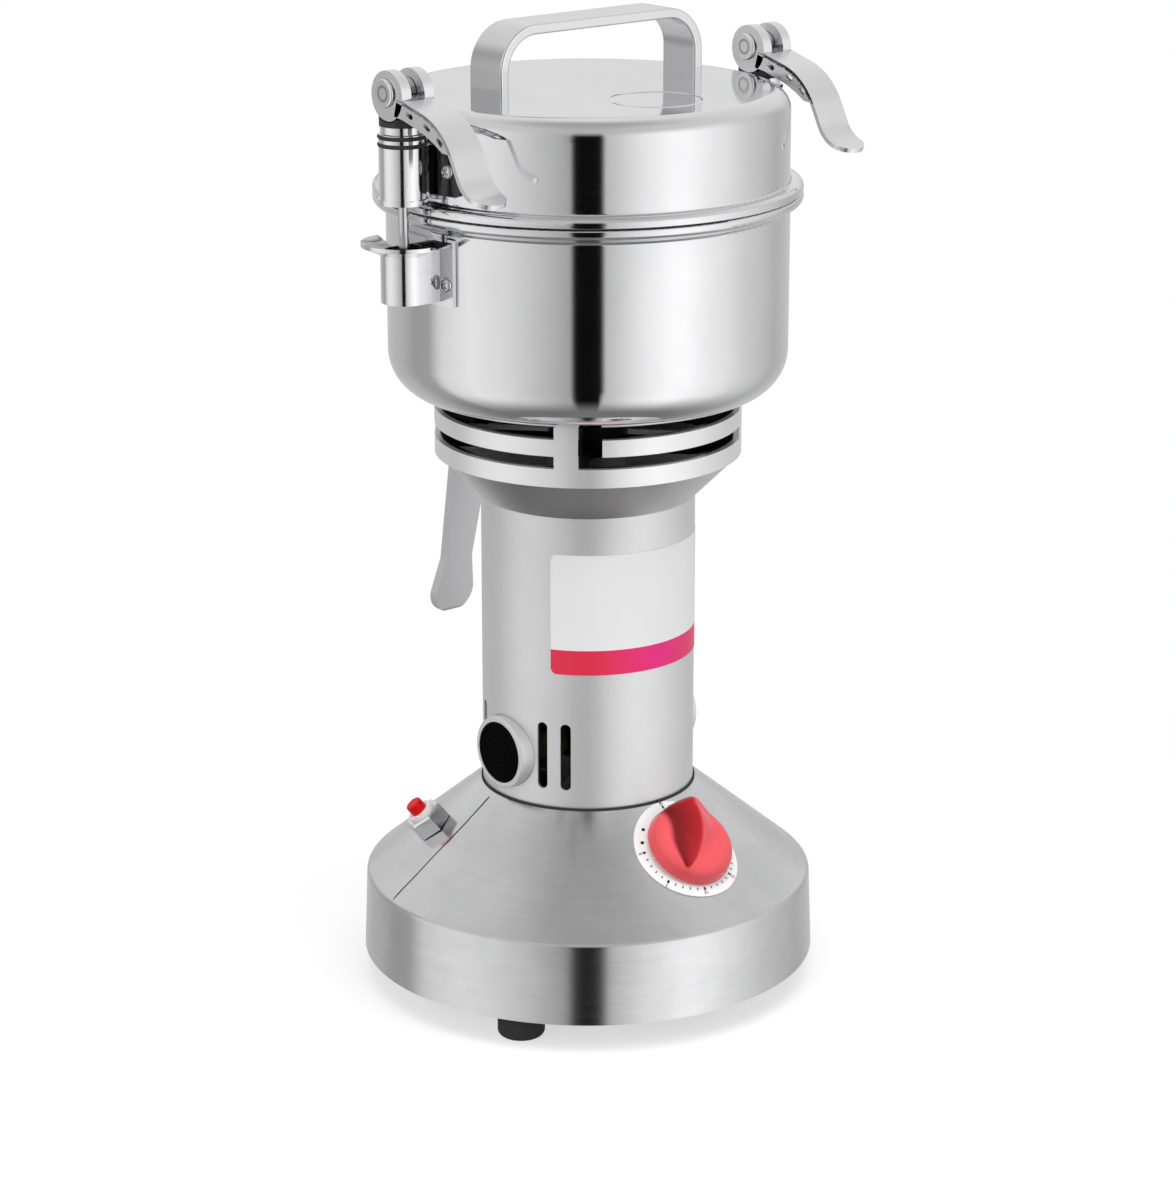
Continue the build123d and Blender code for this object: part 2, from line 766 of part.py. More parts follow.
cap_seat = brush_boss_face - brush_cap_depth
with BuildPart() as brush_caps:
    for brush_azimuth in (-90.0, 90.0):
        with BuildSketch(radial_plane(brush_azimuth, cap_seat, brush_z)):
            Circle(brush_cap_radius)
        extrude(amount=brush_cap_depth + brush_cap_proud)
        with BuildSketch(radial_plane(brush_azimuth, brush_boss_face + brush_cap_proud, brush_z)):
            SlotOverall(coin_slot_length, coin_slot_width)
        extrude(amount=-coin_slot_depth, mode=Mode.SUBTRACT)

brush_caps.part.label = "brush_caps"
export_step(brush_caps.part, "parts/brush_caps.step")

with BuildPart() as brush_holders:
    for brush_azimuth in (-90.0, 90.0):
        with BuildSketch(radial_plane(brush_azimuth, holder_inner_end, brush_z)):
            Rectangle(holder_width, holder_height)
            Rectangle(brush_width + 2 * brush_clearance, brush_height + 2 * brush_clearance, mode=Mode.SUBTRACT)
        extrude(amount=cap_seat - holder_inner_end)

brush_holders.part.label = "brush_holders"
export_step(brush_holders.part, "parts/brush_holders.step")

with BuildPart() as carbon_brushes:
    for brush_azimuth in (-90.0, 90.0):
        with BuildSketch(radial_plane(brush_azimuth, commutator_radius / 2, brush_z)):
            Rectangle(brush_width, brush_height)
        extrude(amount=commutator_radius / 2 + body_gap + brush_length)
    with BuildSketch(Plane.XY.offset(brush_z)):
        Circle(commutator_radius + body_gap)
    extrude(amount=brush_height, both=True, mode=Mode.SUBTRACT)

carbon_brushes.part.label = "carbon_brushes"
export_step(carbon_brushes.part, "parts/carbon_brushes.step")

brush_outer_end = commutator_radius + body_gap + brush_length
spring_length = cap_seat - brush_outer_end - 2 * (spring_wire_radius + spring_end_gap)
with BuildPart() as brush_springs:
    for brush_azimuth in (-90.0, 90.0):
        spring_start = brush_outer_end + spring_wire_radius + spring_end_gap
        spring_origin = around(spring_start, brush_azimuth, brush_z)
        with BuildLine() as coil:
            Helix(
                pitch=spring_length / spring_turns,
                height=spring_length,
                radius=spring_radius,
                center=spring_origin,
                direction=around(1.0, brush_azimuth),
            )
        with BuildSketch(Plane(origin=coil.line @ 0, z_dir=coil.line % 0)):
            Circle(spring_wire_radius)
        sweep(path=coil.line, is_frenet=True)

brush_springs.part.label = "brush_springs"
export_step(brush_springs.part, "parts/brush_springs.step")

# ================================================================ motor
with BuildPart() as stator_core:
    with BuildSketch(Plane.XY.offset(stack_bottom_z)):
        Circle(stator_radius)
        for side_y in (-1, 1):
            for side_x in (-1, 1):
                window_x = side_x * (pole_half_width + coil_width / 2 + coil_gap)
                window_y = side_y * (coil_inner_y + coil_depth / 2)
                with Locations((window_x, window_y)):
                    Rectangle(coil_width + 2 * coil_gap, coil_depth + 2 * coil_gap, mode=Mode.SUBTRACT)
        for middle_angle in (0.0, 180.0):
            with BuildLine():
                first_angle = middle_angle - yoke_half_angle
                gap_arc = CenterArc((0, 0), stator_radius - yoke_depth, first_angle, 2 * yoke_half_angle)
                Polyline(gap_arc @ 1, (0, 0), gap_arc @ 0)
            make_face(mode=Mode.SUBTRACT)
        Circle(armature_radius + air_gap, mode=Mode.SUBTRACT)
        with Locations(tie_rod_points):
            Circle(tie_rod_radius + screw_clearance, mode=Mode.SUBTRACT)
    extrude(amount=stack_height)

stator_core.part.label = "stator_core"
export_step(stator_core.part, "parts/stator_core.step")

coil_middle_z = stack_bottom_z + stack_height / 2
with BuildPart() as field_windings:
    for side in (-1, 1):
        with BuildSketch(Plane((0, side * coil_inner_y, coil_middle_z), x_dir=(1, 0, 0), z_dir=(0, side, 0))):
            coil_hole_width = 2 * (pole_half_width + coil_gap)
            coil_hole_height = stack_height + 2 * coil_gap
            RectangleRounded(coil_hole_width + 2 * coil_width, coil_hole_height + 2 * coil_width, coil_width)
            Rectangle(coil_hole_width, coil_hole_height, mode=Mode.SUBTRACT)
        extrude(amount=coil_depth)

field_windings.part.label = "field_windings"
export_step(field_windings.part, "parts/field_windings.step")

with BuildPart() as armature_core:
    with BuildSketch(Plane.XY.offset(stack_bottom_z)):
        Circle(armature_radius)
        with PolarLocations(armature_radius, armature_slots):
            Rectangle(2 * armature_slot_depth, armature_slot_width, mode=Mode.SUBTRACT)
        Circle(shaft_radius + running_fit, mode=Mode.SUBTRACT)
    extrude(amount=stack_height)

armature_core.part.label = "armature_core"
export_step(armature_core.part, "parts/armature_core.step")

with BuildPart() as armature_windings:
    for end_z, direction in ((stack_bottom_z, -1), (stack_top_z, 1)):
        with BuildSketch(Plane.XY.offset(end_z)):
            Circle(armature_radius - winding_inset)
            Circle(shaft_radius + running_fit, mode=Mode.SUBTRACT)
        extrude(amount=direction * winding_overhang, taper=winding_draft)

armature_windings.part.label = "armature_windings"
export_step(armature_windings.part, "parts/armature_windings.step")

with BuildPart() as commutator:
    with BuildSketch(Plane.XY.offset(commutator_bottom_z)):
        Circle(commutator_radius)
        with PolarLocations(commutator_radius, commutator_bars):
            Rectangle(2 * commutator_slit_depth, commutator_slit_width, mode=Mode.SUBTRACT)
        Circle(shaft_radius + running_fit, mode=Mode.SUBTRACT)
    extrude(amount=commutator_height)
    with BuildSketch(Plane.XY.offset(commutator_bottom_z + commutator_height)):
        Circle(commutator_radius + commutator_riser)
        Circle(shaft_radius + running_fit, mode=Mode.SUBTRACT)
    extrude(amount=commutator_riser_height)

commutator.part.label = "commutator"
export_step(commutator.part, "parts/commutator.step")

with BuildPart() as motor_shaft:
    with BuildSketch(Plane.XY.offset(shaft_bottom_z)):
        Circle(shaft_radius)
    extrude(amount=shaft_top_z - shaft_bottom_z)
    chamfer(motor_shaft.edges().filter_by(GeomType.CIRCLE), shaft_chamfer)

motor_shaft.part.label = "motor_shaft"
export_step(motor_shaft.part, "parts/motor_shaft.step")

with BuildPart() as motor_bearings:
    for bearing_z in (lower_bearing_z, upper_bearing_z):
        with BuildSketch(Plane.XY.offset(bearing_z)):
            Circle(bearing_radius - running_fit / 2)
            Circle(shaft_radius + running_fit, mode=Mode.SUBTRACT)
        extrude(amount=bearing_width)
        for face_z, direction in ((bearing_z, 1), (bearing_z + bearing_width, -1)):
            with BuildSketch(Plane.XY.offset(face_z)):
                Circle(bearing_radius - bearing_ring)
                Circle(shaft_radius + bearing_ring, mode=Mode.SUBTRACT)
            extrude(amount=direction * shield_recess, mode=Mode.SUBTRACT)

motor_bearings.part.label = "motor_bearings"
export_step(motor_bearings.part, "parts/motor_bearings.step")

with BuildPart() as cooling_fan:
    with BuildSketch(Plane.XY.offset(fan_bottom_z)):
        Circle(fan_radius)
    extrude(amount=fan_disc_thickness)
    with BuildSketch(Plane.XY.offset(fan_bottom_z + fan_disc_thickness)):
        with PolarLocations((fan_radius + fan_hub_radius) / 2, fan_blade_count):
            Rectangle(fan_blade_length, fan_disc_thickness, rotation=fan_blade_angle)
    extrude(amount=fan_blade_height)
    with BuildSketch(Plane.XY.offset(fan_bottom_z)):
        Circle(fan_hub_radius)
    extrude(amount=fan_disc_thickness + fan_blade_height)
    with BuildSketch(Plane.XY.offset(fan_bottom_z)):
        Circle(shaft_radius + running_fit)
    extrude(amount=fan_disc_thickness + fan_blade_height, mode=Mode.SUBTRACT)

cooling_fan.part.label = "cooling_fan"
export_step(cooling_fan.part, "parts/cooling_fan.step")

# ================================================================ neck
spigot_bottom_z = tube_top_z - neck_spigot_height
notch_azimuth = post_azimuth + degrees((post_width + notch_width) / 2 / neck_radius)
with BuildPart() as neck_casting:
    with BuildSketch(Plane.XZ):
        with BuildLine():
            Polyline(
                (tube_inner_radius - seat_gap, spigot_bottom_z),
                (tube_inner_radius - seat_gap, tube_top_z),
                (tube_radius, tube_top_z),
                (neck_cone_radius, neck_flange_bottom_z),
                (neck_radius, neck_flange_bottom_z),
                (neck_radius, bowl_floor_z),
                (neck_radius - neck_wall, bowl_floor_z),
                (neck_radius - neck_wall, neck_flange_bottom_z),
                (tube_inner_radius - neck_skin, tube_top_z),
                (tube_inner_radius - neck_skin, spigot_bottom_z),
                close=True,
            )
        make_face()
    revolve(axis=Axis.Z)
    with BuildSketch(Plane.XY.offset(tube_top_z)):
        Circle(hub_radius)
    extrude(amount=bowl_floor_z - tube_top_z)
    for azimuth in post_azimuths:
        with BuildSketch(half_plane(azimuth)):
            Polygon(
                (hub_radius / 2, tube_top_z),
                (tube_inner_radius - neck_skin / 2, tube_top_z),
                (neck_radius - neck_wall / 2, neck_flange_bottom_z),
                (neck_radius - neck_wall / 2, neck_flange_top_z),
                (hub_radius / 2, neck_flange_top_z),
                align=None,
            )
        extrude(amount=spoke_width / 2, both=True)
        with BuildSketch(half_plane(azimuth)):
            Polygon(
                (post_inner_radius, neck_flange_bottom_z),
                (neck_radius - neck_wall / 2, neck_flange_bottom_z),
                (neck_radius - neck_wall / 2, bowl_floor_z),
                (post_inner_radius, bowl_floor_z),
                align=None,
            )
        extrude(amount=post_width / 2, both=True)
    for slot_bottom_z, slot_top_z in ((neck_flange_top_z, louvre_bottom_z), (louvre_top_z, bowl_floor_z)):
        with BuildSketch(Plane.XY.offset(slot_bottom_z)):
            Circle(neck_radius + neck_wall)
            Circle(neck_radius - neck_wall - seat_gap, mode=Mode.SUBTRACT)
            for azimuth in post_azimuths:
                with Locations(around(neck_radius, azimuth)):
                    Rectangle(4 * neck_wall, post_width, rotation=azimuth - 90.0, mode=Mode.SUBTRACT)
        extrude(amount=slot_top_z - slot_bottom_z, mode=Mode.SUBTRACT)
    with BuildSketch(Plane.XY.offset(tube_top_z)):
        Circle(bearing_radius)
    extrude(amount=upper_bearing_z + bearing_width - tube_top_z, mode=Mode.SUBTRACT)
    with BuildSketch(Plane.XY.offset(bowl_floor_z)):
        Circle(seal_radius + seat_gap)
    extrude(amount=tube_top_z - bowl_floor_z, mode=Mode.SUBTRACT)
    with BuildSketch(Plane.XY.offset(bowl_floor_z)):
        with Locations(bowl_screw_points):
            Circle(bowl_screw_radius + running_fit)
    extrude(amount=-bowl_screw_depth, mode=Mode.SUBTRACT)
    with BuildSketch(Plane.XY.offset(spigot_bottom_z)):
        with Locations(tie_rod_points):
            Circle(tie_rod_radius + running_fit)
    extrude(amount=neck_spigot_height + tie_rod_grip, mode=Mode.SUBTRACT)
    with BuildSketch(Plane.XY.offset(neck_flange_top_z)):
        with Locations((-strap_screw_x, strap_screw_y), (strap_screw_x, strap_screw_y)):
            Circle(strap_screw_radius + running_fit)
    extrude(amount=-strap_screw_depth, mode=Mode.SUBTRACT)
    with BuildSketch(radial_plane(notch_azimuth, neck_radius, (louvre_bottom_z + louvre_top_z) / 2)):
        Rectangle(notch_width, louvre_top_z - louvre_bottom_z)
    extrude(amount=neck_wall * 1.5, both=True, mode=Mode.SUBTRACT)

neck_casting.part.label = "neck_casting"
export_step(neck_casting.part, "parts/neck_casting.step")

with BuildPart() as motor_tie_rods:
    with BuildSketch(Plane.XY.offset(frame_ring_top_z)):
        with Locations(tie_rod_points):
            Circle(tie_rod_radius)
    extrude(amount=tube_top_z + tie_rod_grip - frame_ring_top_z)

motor_tie_rods.part.label = "motor_tie_rods"
export_step(motor_tie_rods.part, "parts/motor_tie_rods.step")

# ================================================================ pour handle
strap_run = tan(radians(strap_lean))
strap_top_z = neck_flange_top_z + strap_thickness / 2
strap_end_z = paddle_z - paddle_radius


def strap_radius(z):
    """Distance of the pour handle's middle line from the motor axis at a height."""
    return strap_top_radius + (strap_top_z - z) * strap_run


with BuildPart() as pour_handle:
    with BuildSketch(half_plane(180.0)):
        with BuildLine():
            FilletPolyline(
                (strap_inner_radius, strap_top_z),
                (strap_top_radius, strap_top_z),
                (strap_radius(strap_end_z), strap_end_z),
                radius=strap_bend,
            )
            offset(amount=strap_thickness / 2, side=Side.BOTH)
        make_face()
    extrude(amount=strap_top_width / 2, both=True)
    with BuildSketch(Plane.XZ):
        with BuildLine():
            top_left = Line((-strap_top_width / 2, neck_flange_bottom_z), (-strap_waist_width / 2, strap_waist_z))
            low_left = Line(top_left @ 1, (-paddle_half_width, paddle_z))
            paddle = RadiusArc(low_left @ 1, (paddle_half_width, paddle_z), paddle_radius, short_sagitta=False)
            low_right = Line(paddle @ 1, (strap_waist_width / 2, strap_waist_z))
            top_right = Line(low_right @ 1, (strap_top_width / 2, neck_flange_bottom_z))
            Polyline(
                top_right @ 1,
                (strap_top_width / 2, strap_top_z + strap_thickness),
                (-strap_top_width / 2, strap_top_z + strap_thickness),
                top_left @ 0,
            )
        make_face()
    extrude(amount=-neck_radius * 2, mode=Mode.INTERSECT)
    with BuildSketch(Plane.XY.offset(neck_flange_top_z)):
        with Locations((-strap_screw_x, strap_screw_y), (strap_screw_x, strap_screw_y)):
            Circle(strap_screw_radius + running_fit)
    extrude(amount=strap_thickness, mode=Mode.SUBTRACT)

pour_handle.part.label = "pour_handle"
export_step(pour_handle.part, "parts/pour_handle.step")

with BuildPart() as pour_handle_screws:
    with BuildSketch(Plane.XY.offset(neck_flange_top_z + strap_thickness)):
        with Locations((-strap_screw_x, strap_screw_y), (strap_screw_x, strap_screw_y)):
            Circle(strap_screw_radius)
    extrude(amount=-(strap_thickness + strap_screw_depth))

pour_handle_screws.part.label = "pour_handle_screws"
export_step(pour_handle_screws.part, "parts/pour_handle_screws.step")

# ================================================================ bowl
with BuildPart() as bowl:
    with BuildSketch(Plane.XZ):
        with BuildLine():
            bowl_line = FilletPolyline(
                (seal_radius + seat_gap, bowl_floor_z),
                (bowl_radius, bowl_floor_z),
                (bowl_radius, rim_bottom_z),
                (rim_radius, rim_bottom_z + rim_bead_rise),
                (rim_radius, rim_joint_z),
                (bowl_inner_radius, rim_joint_z),
                (bowl_inner_radius, bowl_floor_z + bowl_wall),
                (seal_radius + seat_gap, bowl_floor_z + bowl_wall),
                radius=(bowl_corner, rim_root, rim_bead, rim_edge, rim_inner_edge, bowl_corner - bowl_wall),
            )
            Line(bowl_line @ 1, bowl_line @ 0)
        make_face()
    revolve(axis=Axis.Z)
    with BuildSketch(Plane.XY.offset(bowl_floor_z)):
        with Locations(bowl_screw_points):
            Circle(bowl_screw_radius + screw_clearance)
    extrude(amount=bowl_wall, mode=Mode.SUBTRACT)
    for sign in (-1, 1):
        for screw_azimuth in catch_screw_azimuths:
            with BuildSketch(radial_plane(sign * 90.0 + screw_azimuth, bowl_inner_radius, catch_screw_z)):
                Circle(clamp_screw_radius + running_fit)
            extrude(amount=bowl_wall * 2, both=True, mode=Mode.SUBTRACT)

bowl.part.label = "bowl"
export_step(bowl.part, "parts/bowl.step")

with BuildPart() as bowl_screws:
    with BuildSketch(Plane.XY.offset(bowl_floor_z + bowl_wall)):
        with Locations(bowl_screw_points):
            Circle(bowl_screw_head)
    extrude(amount=bowl_screw_head_height)
    fillet(bowl_screws.faces().sort_by(Axis.Z)[-post_count:].edges(), bowl_screw_dome)
    with BuildSketch(Plane.XY.offset(bowl_floor_z + bowl_wall)):
        with Locations(bowl_screw_points):
            Circle(bowl_screw_radius)
    extrude(amount=-(bowl_wall + bowl_screw_depth - body_gap))

bowl_screws.part.label = "bowl_screws"
export_step(bowl_screws.part, "parts/bowl_screws.step")

seal_bottom_z = upper_bearing_z + bearing_width + seal_bottom_gap
seal_top_z = bowl_floor_z + bowl_wall + seal_lip_height
with BuildPart() as shaft_seal:
    with BuildSketch(Plane.XY.offset(seal_bottom_z)):
        Circle(seal_radius)
        Circle(shaft_radius + running_fit, mode=Mode.SUBTRACT)
    extrude(amount=seal_top_z - seal_bottom_z)
    fillet(shaft_seal.faces().sort_by(Axis.Z)[-1].edges().sort_by(SortBy.LENGTH)[-1], seal_dome)

shaft_seal.part.label = "shaft_seal"
export_step(shaft_seal.part, "parts/shaft_seal.step")

# ================================================================ blades
wing_points = (
    (0, -blade_width / 2),
    (blade_width / 2, -blade_width / 2),
    (lower_blade_length / 2 - blade_tip_sweep, -blade_width / 2 + blade_tip_sweep / 2),
    (lower_blade_length / 2, -blade_width / 4),
    (lower_blade_length / 2 - blade_tip_sweep / 2, blade_tip_sweep / 2),
    (blade_width / 2, blade_width / 2),
    (0, blade_width / 2),
)
with BuildPart() as lower_blade:
    with BuildSketch(Plane.XY.offset(lower_blade_z)):
        with PolarLocations(0, 2):
            Polygon(*wing_points, align=None)
        Circle(blade_bore_radius, mode=Mode.SUBTRACT)
    extrude(amount=blade_thickness)
    cutting_edges = lower_blade.faces().sort_by(Axis.Z)[-1].edges().sort_by(SortBy.LENGTH)[-2:]
    chamfer(cutting_edges, blade_bevel)

lower_blade.part.label = "lower_blade"
export_step(lower_blade.part, "parts/lower_blade.step")

wing_reach = upper_blade_length / 2
wing_rise = (wing_reach - upper_blade_flat / 2) * tan(radians(upper_blade_lift))
with BuildPart() as upper_blade:
    with BuildSketch(Plane.XZ):
        with BuildLine():
            FilletPolyline(
                (-wing_reach, upper_blade_z + wing_rise),
                (-upper_blade_flat / 2, upper_blade_z),
                (upper_blade_flat / 2, upper_blade_z),
                (wing_reach, upper_blade_z + wing_rise),
                radius=upper_blade_bend,
            )
            offset(amount=blade_thickness, side=Side.LEFT)
        make_face()
    extrude(amount=blade_width / 2, both=True)
    with BuildSketch(Plane.XY.offset(upper_blade_z)):
        with PolarLocations(0, 2):
            Polygon(*[(x * upper_blade_length / lower_blade_length, y) for x, y in wing_points], align=None)
        Circle(blade_bore_radius, mode=Mode.SUBTRACT)
    extrude(amount=wing_rise * 2, both=True, mode=Mode.INTERSECT)

upper_blade.part.label = "upper_blade"
export_step(upper_blade.part, "parts/upper_blade.step")

collar_bottom_z = seal_top_z + body_gap
with BuildPart() as blade_spacers:
    for spacer_bottom_z, spacer_top_z in (
        (collar_bottom_z, lower_blade_z),
        (lower_blade_z + blade_thickness, upper_blade_z),
    ):
        with BuildSketch(Plane.XY.offset(spacer_bottom_z)):
            Circle(blade_spacer_radius)
            Circle(blade_bore_radius, mode=Mode.SUBTRACT)
        extrude(amount=spacer_top_z - spacer_bottom_z)

blade_spacers.part.label = "blade_spacers"
export_step(blade_spacers.part, "parts/blade_spacers.step")

with BuildPart() as blade_nut:
    with BuildSketch(Plane.XY.offset(blade_nut_z)):
        RegularPolygon(blade_nut_width / 2, 6, major_radius=False)
    extrude(amount=blade_nut_height)
    with BuildSketch(Plane.XY.offset(blade_nut_z + blade_nut_height)):
        Circle(blade_nut_width / 2 - blade_nut_dome_inset)
    extrude(amount=blade_nut_dome)
    fillet(blade_nut.faces().sort_by(Axis.Z)[-1].edges(), blade_nut_dome_fillet)
    with BuildSketch(Plane.XY.offset(blade_nut_z)):
        Circle(blade_bore_radius)
    extrude(amount=shaft_top_z + body_gap - blade_nut_z, mode=Mode.SUBTRACT)

blade_nut.part.label = "blade_nut"
export_step(blade_nut.part, "parts/blade_nut.step")

# ================================================================ lid
lid_inner_radius = lid_radius - lid_wall
with BuildPart() as lid_shell:
    with BuildSketch(Plane.XZ):
        with BuildLine():
            lid_line = FilletPolyline(
                (0, lid_top_z),
                (lid_radius, lid_top_z),
                (lid_radius, lid_flange_top_z),
                (rim_radius, lid_flange_top_z),
                (rim_radius, lid_flange_bottom_z),
                (lid_inner_radius, lid_flange_bottom_z),
                (lid_inner_radius, lid_top_z - lid_wall),
                (0, lid_top_z - lid_wall),
                radius=(
                    lid_shoulder,
                    rim_edge,
                    lid_flange_corner,
                    rim_inner_edge,
                    rim_inner_edge,
                    lid_shoulder - lid_wall,
                ),
            )
            Line(lid_line @ 1, lid_line @ 0)
        make_face()
    revolve(axis=Axis.Z)
    with BuildSketch(Plane.XY.offset(lid_flange_bottom_z)):
        Circle(lid_seal_inner_radius + lid_seal_width + seat_gap)
        Circle(lid_seal_inner_radius - seat_gap, mode=Mode.SUBTRACT)
    extrude(amount=lid_seal_height - body_gap, mode=Mode.SUBTRACT)
    for sign in (-1, 1):
        for screw_azimuth in barrel_screw_azimuths:
            with BuildSketch(radial_plane(sign * 90.0 + screw_azimuth, lid_radius, barrel_screw_z)):
                Circle(clamp_screw_radius + running_fit)
            extrude(amount=lid_wall * 2, both=True, mode=Mode.SUBTRACT)

lid_shell.part.label = "lid_shell"
export_step(lid_shell.part, "parts/lid_shell.step")

with BuildPart() as lid_seal:
    with BuildSketch(Plane.XY.offset(rim_joint_z + body_gap)):
        Circle(lid_seal_inner_radius + lid_seal_width)
        Circle(lid_seal_inner_radius, mode=Mode.SUBTRACT)
    extrude(amount=lid_flange_bottom_z + lid_seal_height - rim_joint_z - 2 * body_gap)

lid_seal.part.label = "lid_seal"
export_step(lid_seal.part, "parts/lid_seal.step")

with BuildPart() as lid_handle:
    with BuildSketch(Plane.XZ):
        with BuildLine():
            FilletPolyline(
                (-handle_length / 2, lid_top_z),
                (-handle_length / 2, handle_top_z),
                (handle_length / 2, handle_top_z),
                (handle_length / 2, lid_top_z),
                radius=handle_corner,
            )
            offset(amount=handle_thickness, side=Side.RIGHT)
        make_face()
    extrude(amount=handle_width / 2, both=True)
    long_edges = lid_handle.faces().filter_by(Axis.Y).edges()
    fillet(long_edges.filter_by(lambda edge: edge.center().Z > lid_top_z + handle_thickness), handle_edge)

lid_handle.part.label = "lid_handle"
export_step(lid_handle.part, "parts/lid_handle.step")

# ================================================================ clamps
for side_name, sign in (("left", -1), ("right", 1)):
    axis_x = sign * clamp_x
    clamp_azimuth = sign * 90.0
    side_plane = Plane(origin=(axis_x, 0, pivot_z), x_dir=(0, -1, 0), z_dir=(-1, 0, 0))

    # the barrel, with the bracket that holds it to the lid's wall
    with BuildPart() as barrel:
        with BuildSketch(Plane.XY.offset(bracket_bottom_z)):
            Circle(lid_radius + seat_gap + bracket_plate)
            with Locations((sign * lid_radius, 0)):
                Rectangle(clamp_x, bracket_width, mode=Mode.INTERSECT)
            with Locations((sign * (lid_radius + clamp_x) / 2, 0)):
                Rectangle(clamp_x - lid_radius + bracket_plate, saddle_width)
            Circle(lid_radius + seat_gap, mode=Mode.SUBTRACT)
        extrude(amount=bracket_height)
        with BuildSketch(Plane.YZ):
            with Locations((0, bracket_bottom_z + bracket_height / 2)):
                RectangleRounded(bracket_width, bracket_height, bracket_corner)
        extrude(amount=clamp_x * 2, both=True, mode=Mode.INTERSECT)
        with BuildSketch(Plane.XY.offset(barrel_bottom_z)):
            with Locations((axis_x, 0)):
                Circle(barrel_radius)
        extrude(amount=barrel_top_z - barrel_bottom_z)
        with BuildSketch(Plane.XY.offset(barrel_bottom_z)):
            with Locations((axis_x, 0)):
                Circle(barrel_foot_radius)
        extrude(amount=barrel_foot_height)
        for depth in o_ring_depths:
            with BuildSketch(Plane.XY.offset(barrel_top_z - depth - o_ring_radius)):
                with Locations((axis_x, 0)):
                    Circle(barrel_foot_radius)
                    Circle(o_ring_centre_radius - o_ring_radius, mode=Mode.SUBTRACT)
            extrude(amount=2 * o_ring_radius, mode=Mode.SUBTRACT)
        with BuildSketch(Plane.XY.offset(barrel_bottom_z)):
            with Locations((axis_x, 0)):
                Circle(barrel_bore_radius)
        extrude(amount=barrel_top_z - barrel_bottom_z, mode=Mode.SUBTRACT)
        for screw_azimuth in barrel_screw_azimuths:
            with BuildSketch(radial_plane(clamp_azimuth + screw_azimuth, lid_radius, barrel_screw_z)):
                Circle(clamp_screw_radius + running_fit)
            extrude(amount=bracket_plate * 3, mode=Mode.SUBTRACT)
    barrel.part.label = f"{side_name}_clamp_barrel"
    export_step(barrel.part, f"parts/{side_name}_clamp_barrel.step")

    # what turns with the lever: the collar and its black washer
    with BuildPart() as collar:
        with BuildSketch(Plane.XY.offset(barrel_top_z + body_gap)):
            with Locations((axis_x, 0)):
                Circle(collar_radius)
        extrude(amount=collar_height)
        with BuildSketch(Plane.XY.offset(barrel_top_z + body_gap)):
            with Locations((axis_x, 0)):
                Circle(barrel_bore_radius - running_fit)
        extrude(amount=-collar_stem_length)
        with BuildSketch(Plane.XY.offset(washer_bottom_z)):
            with Locations((axis_x, 0)):
                Circle(rod_radius + running_fit)
        extrude(amount=-(collar_height + collar_stem_length), mode=Mode.SUBTRACT)
    collar.part.label = f"{side_name}_clamp_collar"
    export_step(collar.part, f"parts/{side_name}_clamp_collar.step")

    cam_z = -cam_offset * cos(radians(cam_angle))
    cam_reach = cam_offset * sin(radians(cam_angle))
    with BuildPart() as washer:
        with BuildSketch(Plane.XY.offset(washer_bottom_z)):
            with Locations((axis_x, 0)):
                Circle(washer_radius)
                Circle(rod_radius + running_fit, mode=Mode.SUBTRACT)
        extrude(amount=washer_height)
        with BuildSketch(side_plane):
            with Locations(((cam_reach + cam_offset) / 2, cam_z)):
                Circle(cam_radius + body_gap + seat_gap)
        extrude(amount=washer_radius * 2, both=True, mode=Mode.SUBTRACT)
    washer.part.label = f"{side_name}_clamp_washer"
    export_step(washer.part, f"parts/{side_name}_clamp_washer.step")

    # the rod with its eye and its cross bar
    with BuildPart() as rod:
        with BuildSketch(Plane.XY.offset(tee_z)):
            with Locations((axis_x, 0)):
                Circle(rod_radius)
        extrude(amount=pivot_z - tee_z)
        with BuildSketch(side_plane):
            Circle(eye_radius)
        extrude(amount=eye_width / 2, both=True)
        with BuildSketch(side_plane):
            Circle(pin_radius + running_fit)
        extrude(amount=eye_width, both=True, mode=Mode.SUBTRACT)
        with BuildSketch(Plane(origin=(axis_x, 0, tee_z), z_dir=(0, 1, 0))):
            Circle(tee_radius)
        extrude(amount=tee_length / 2, both=True)
    rod.part.label = f"{side_name}_clamp_rod"
    export_step(rod.part, f"parts/{side_name}_clamp_rod.step")

    with BuildPart() as pin:
        with BuildSketch(side_plane):
            Circle(pin_radius)
        extrude(amount=lever_width / 2 + pin_side_gap, both=True)
        for direction in (-1, 1):
            head_plane = side_plane.offset(direction * (lever_width / 2 + pin_side_gap))
            with BuildSketch(head_plane):
                Circle(pin_head_radius)
            extrude(amount=direction * pin_head_height)
        fillet(pin.faces().sort_by(Axis.X)[0].edges() + pin.faces().sort_by(Axis.X)[-1].edges(), pin_head_edge)
    pin.part.label = f"{side_name}_clamp_pin"
    export_step(pin.part, f"parts/{side_name}_clamp_pin.step")

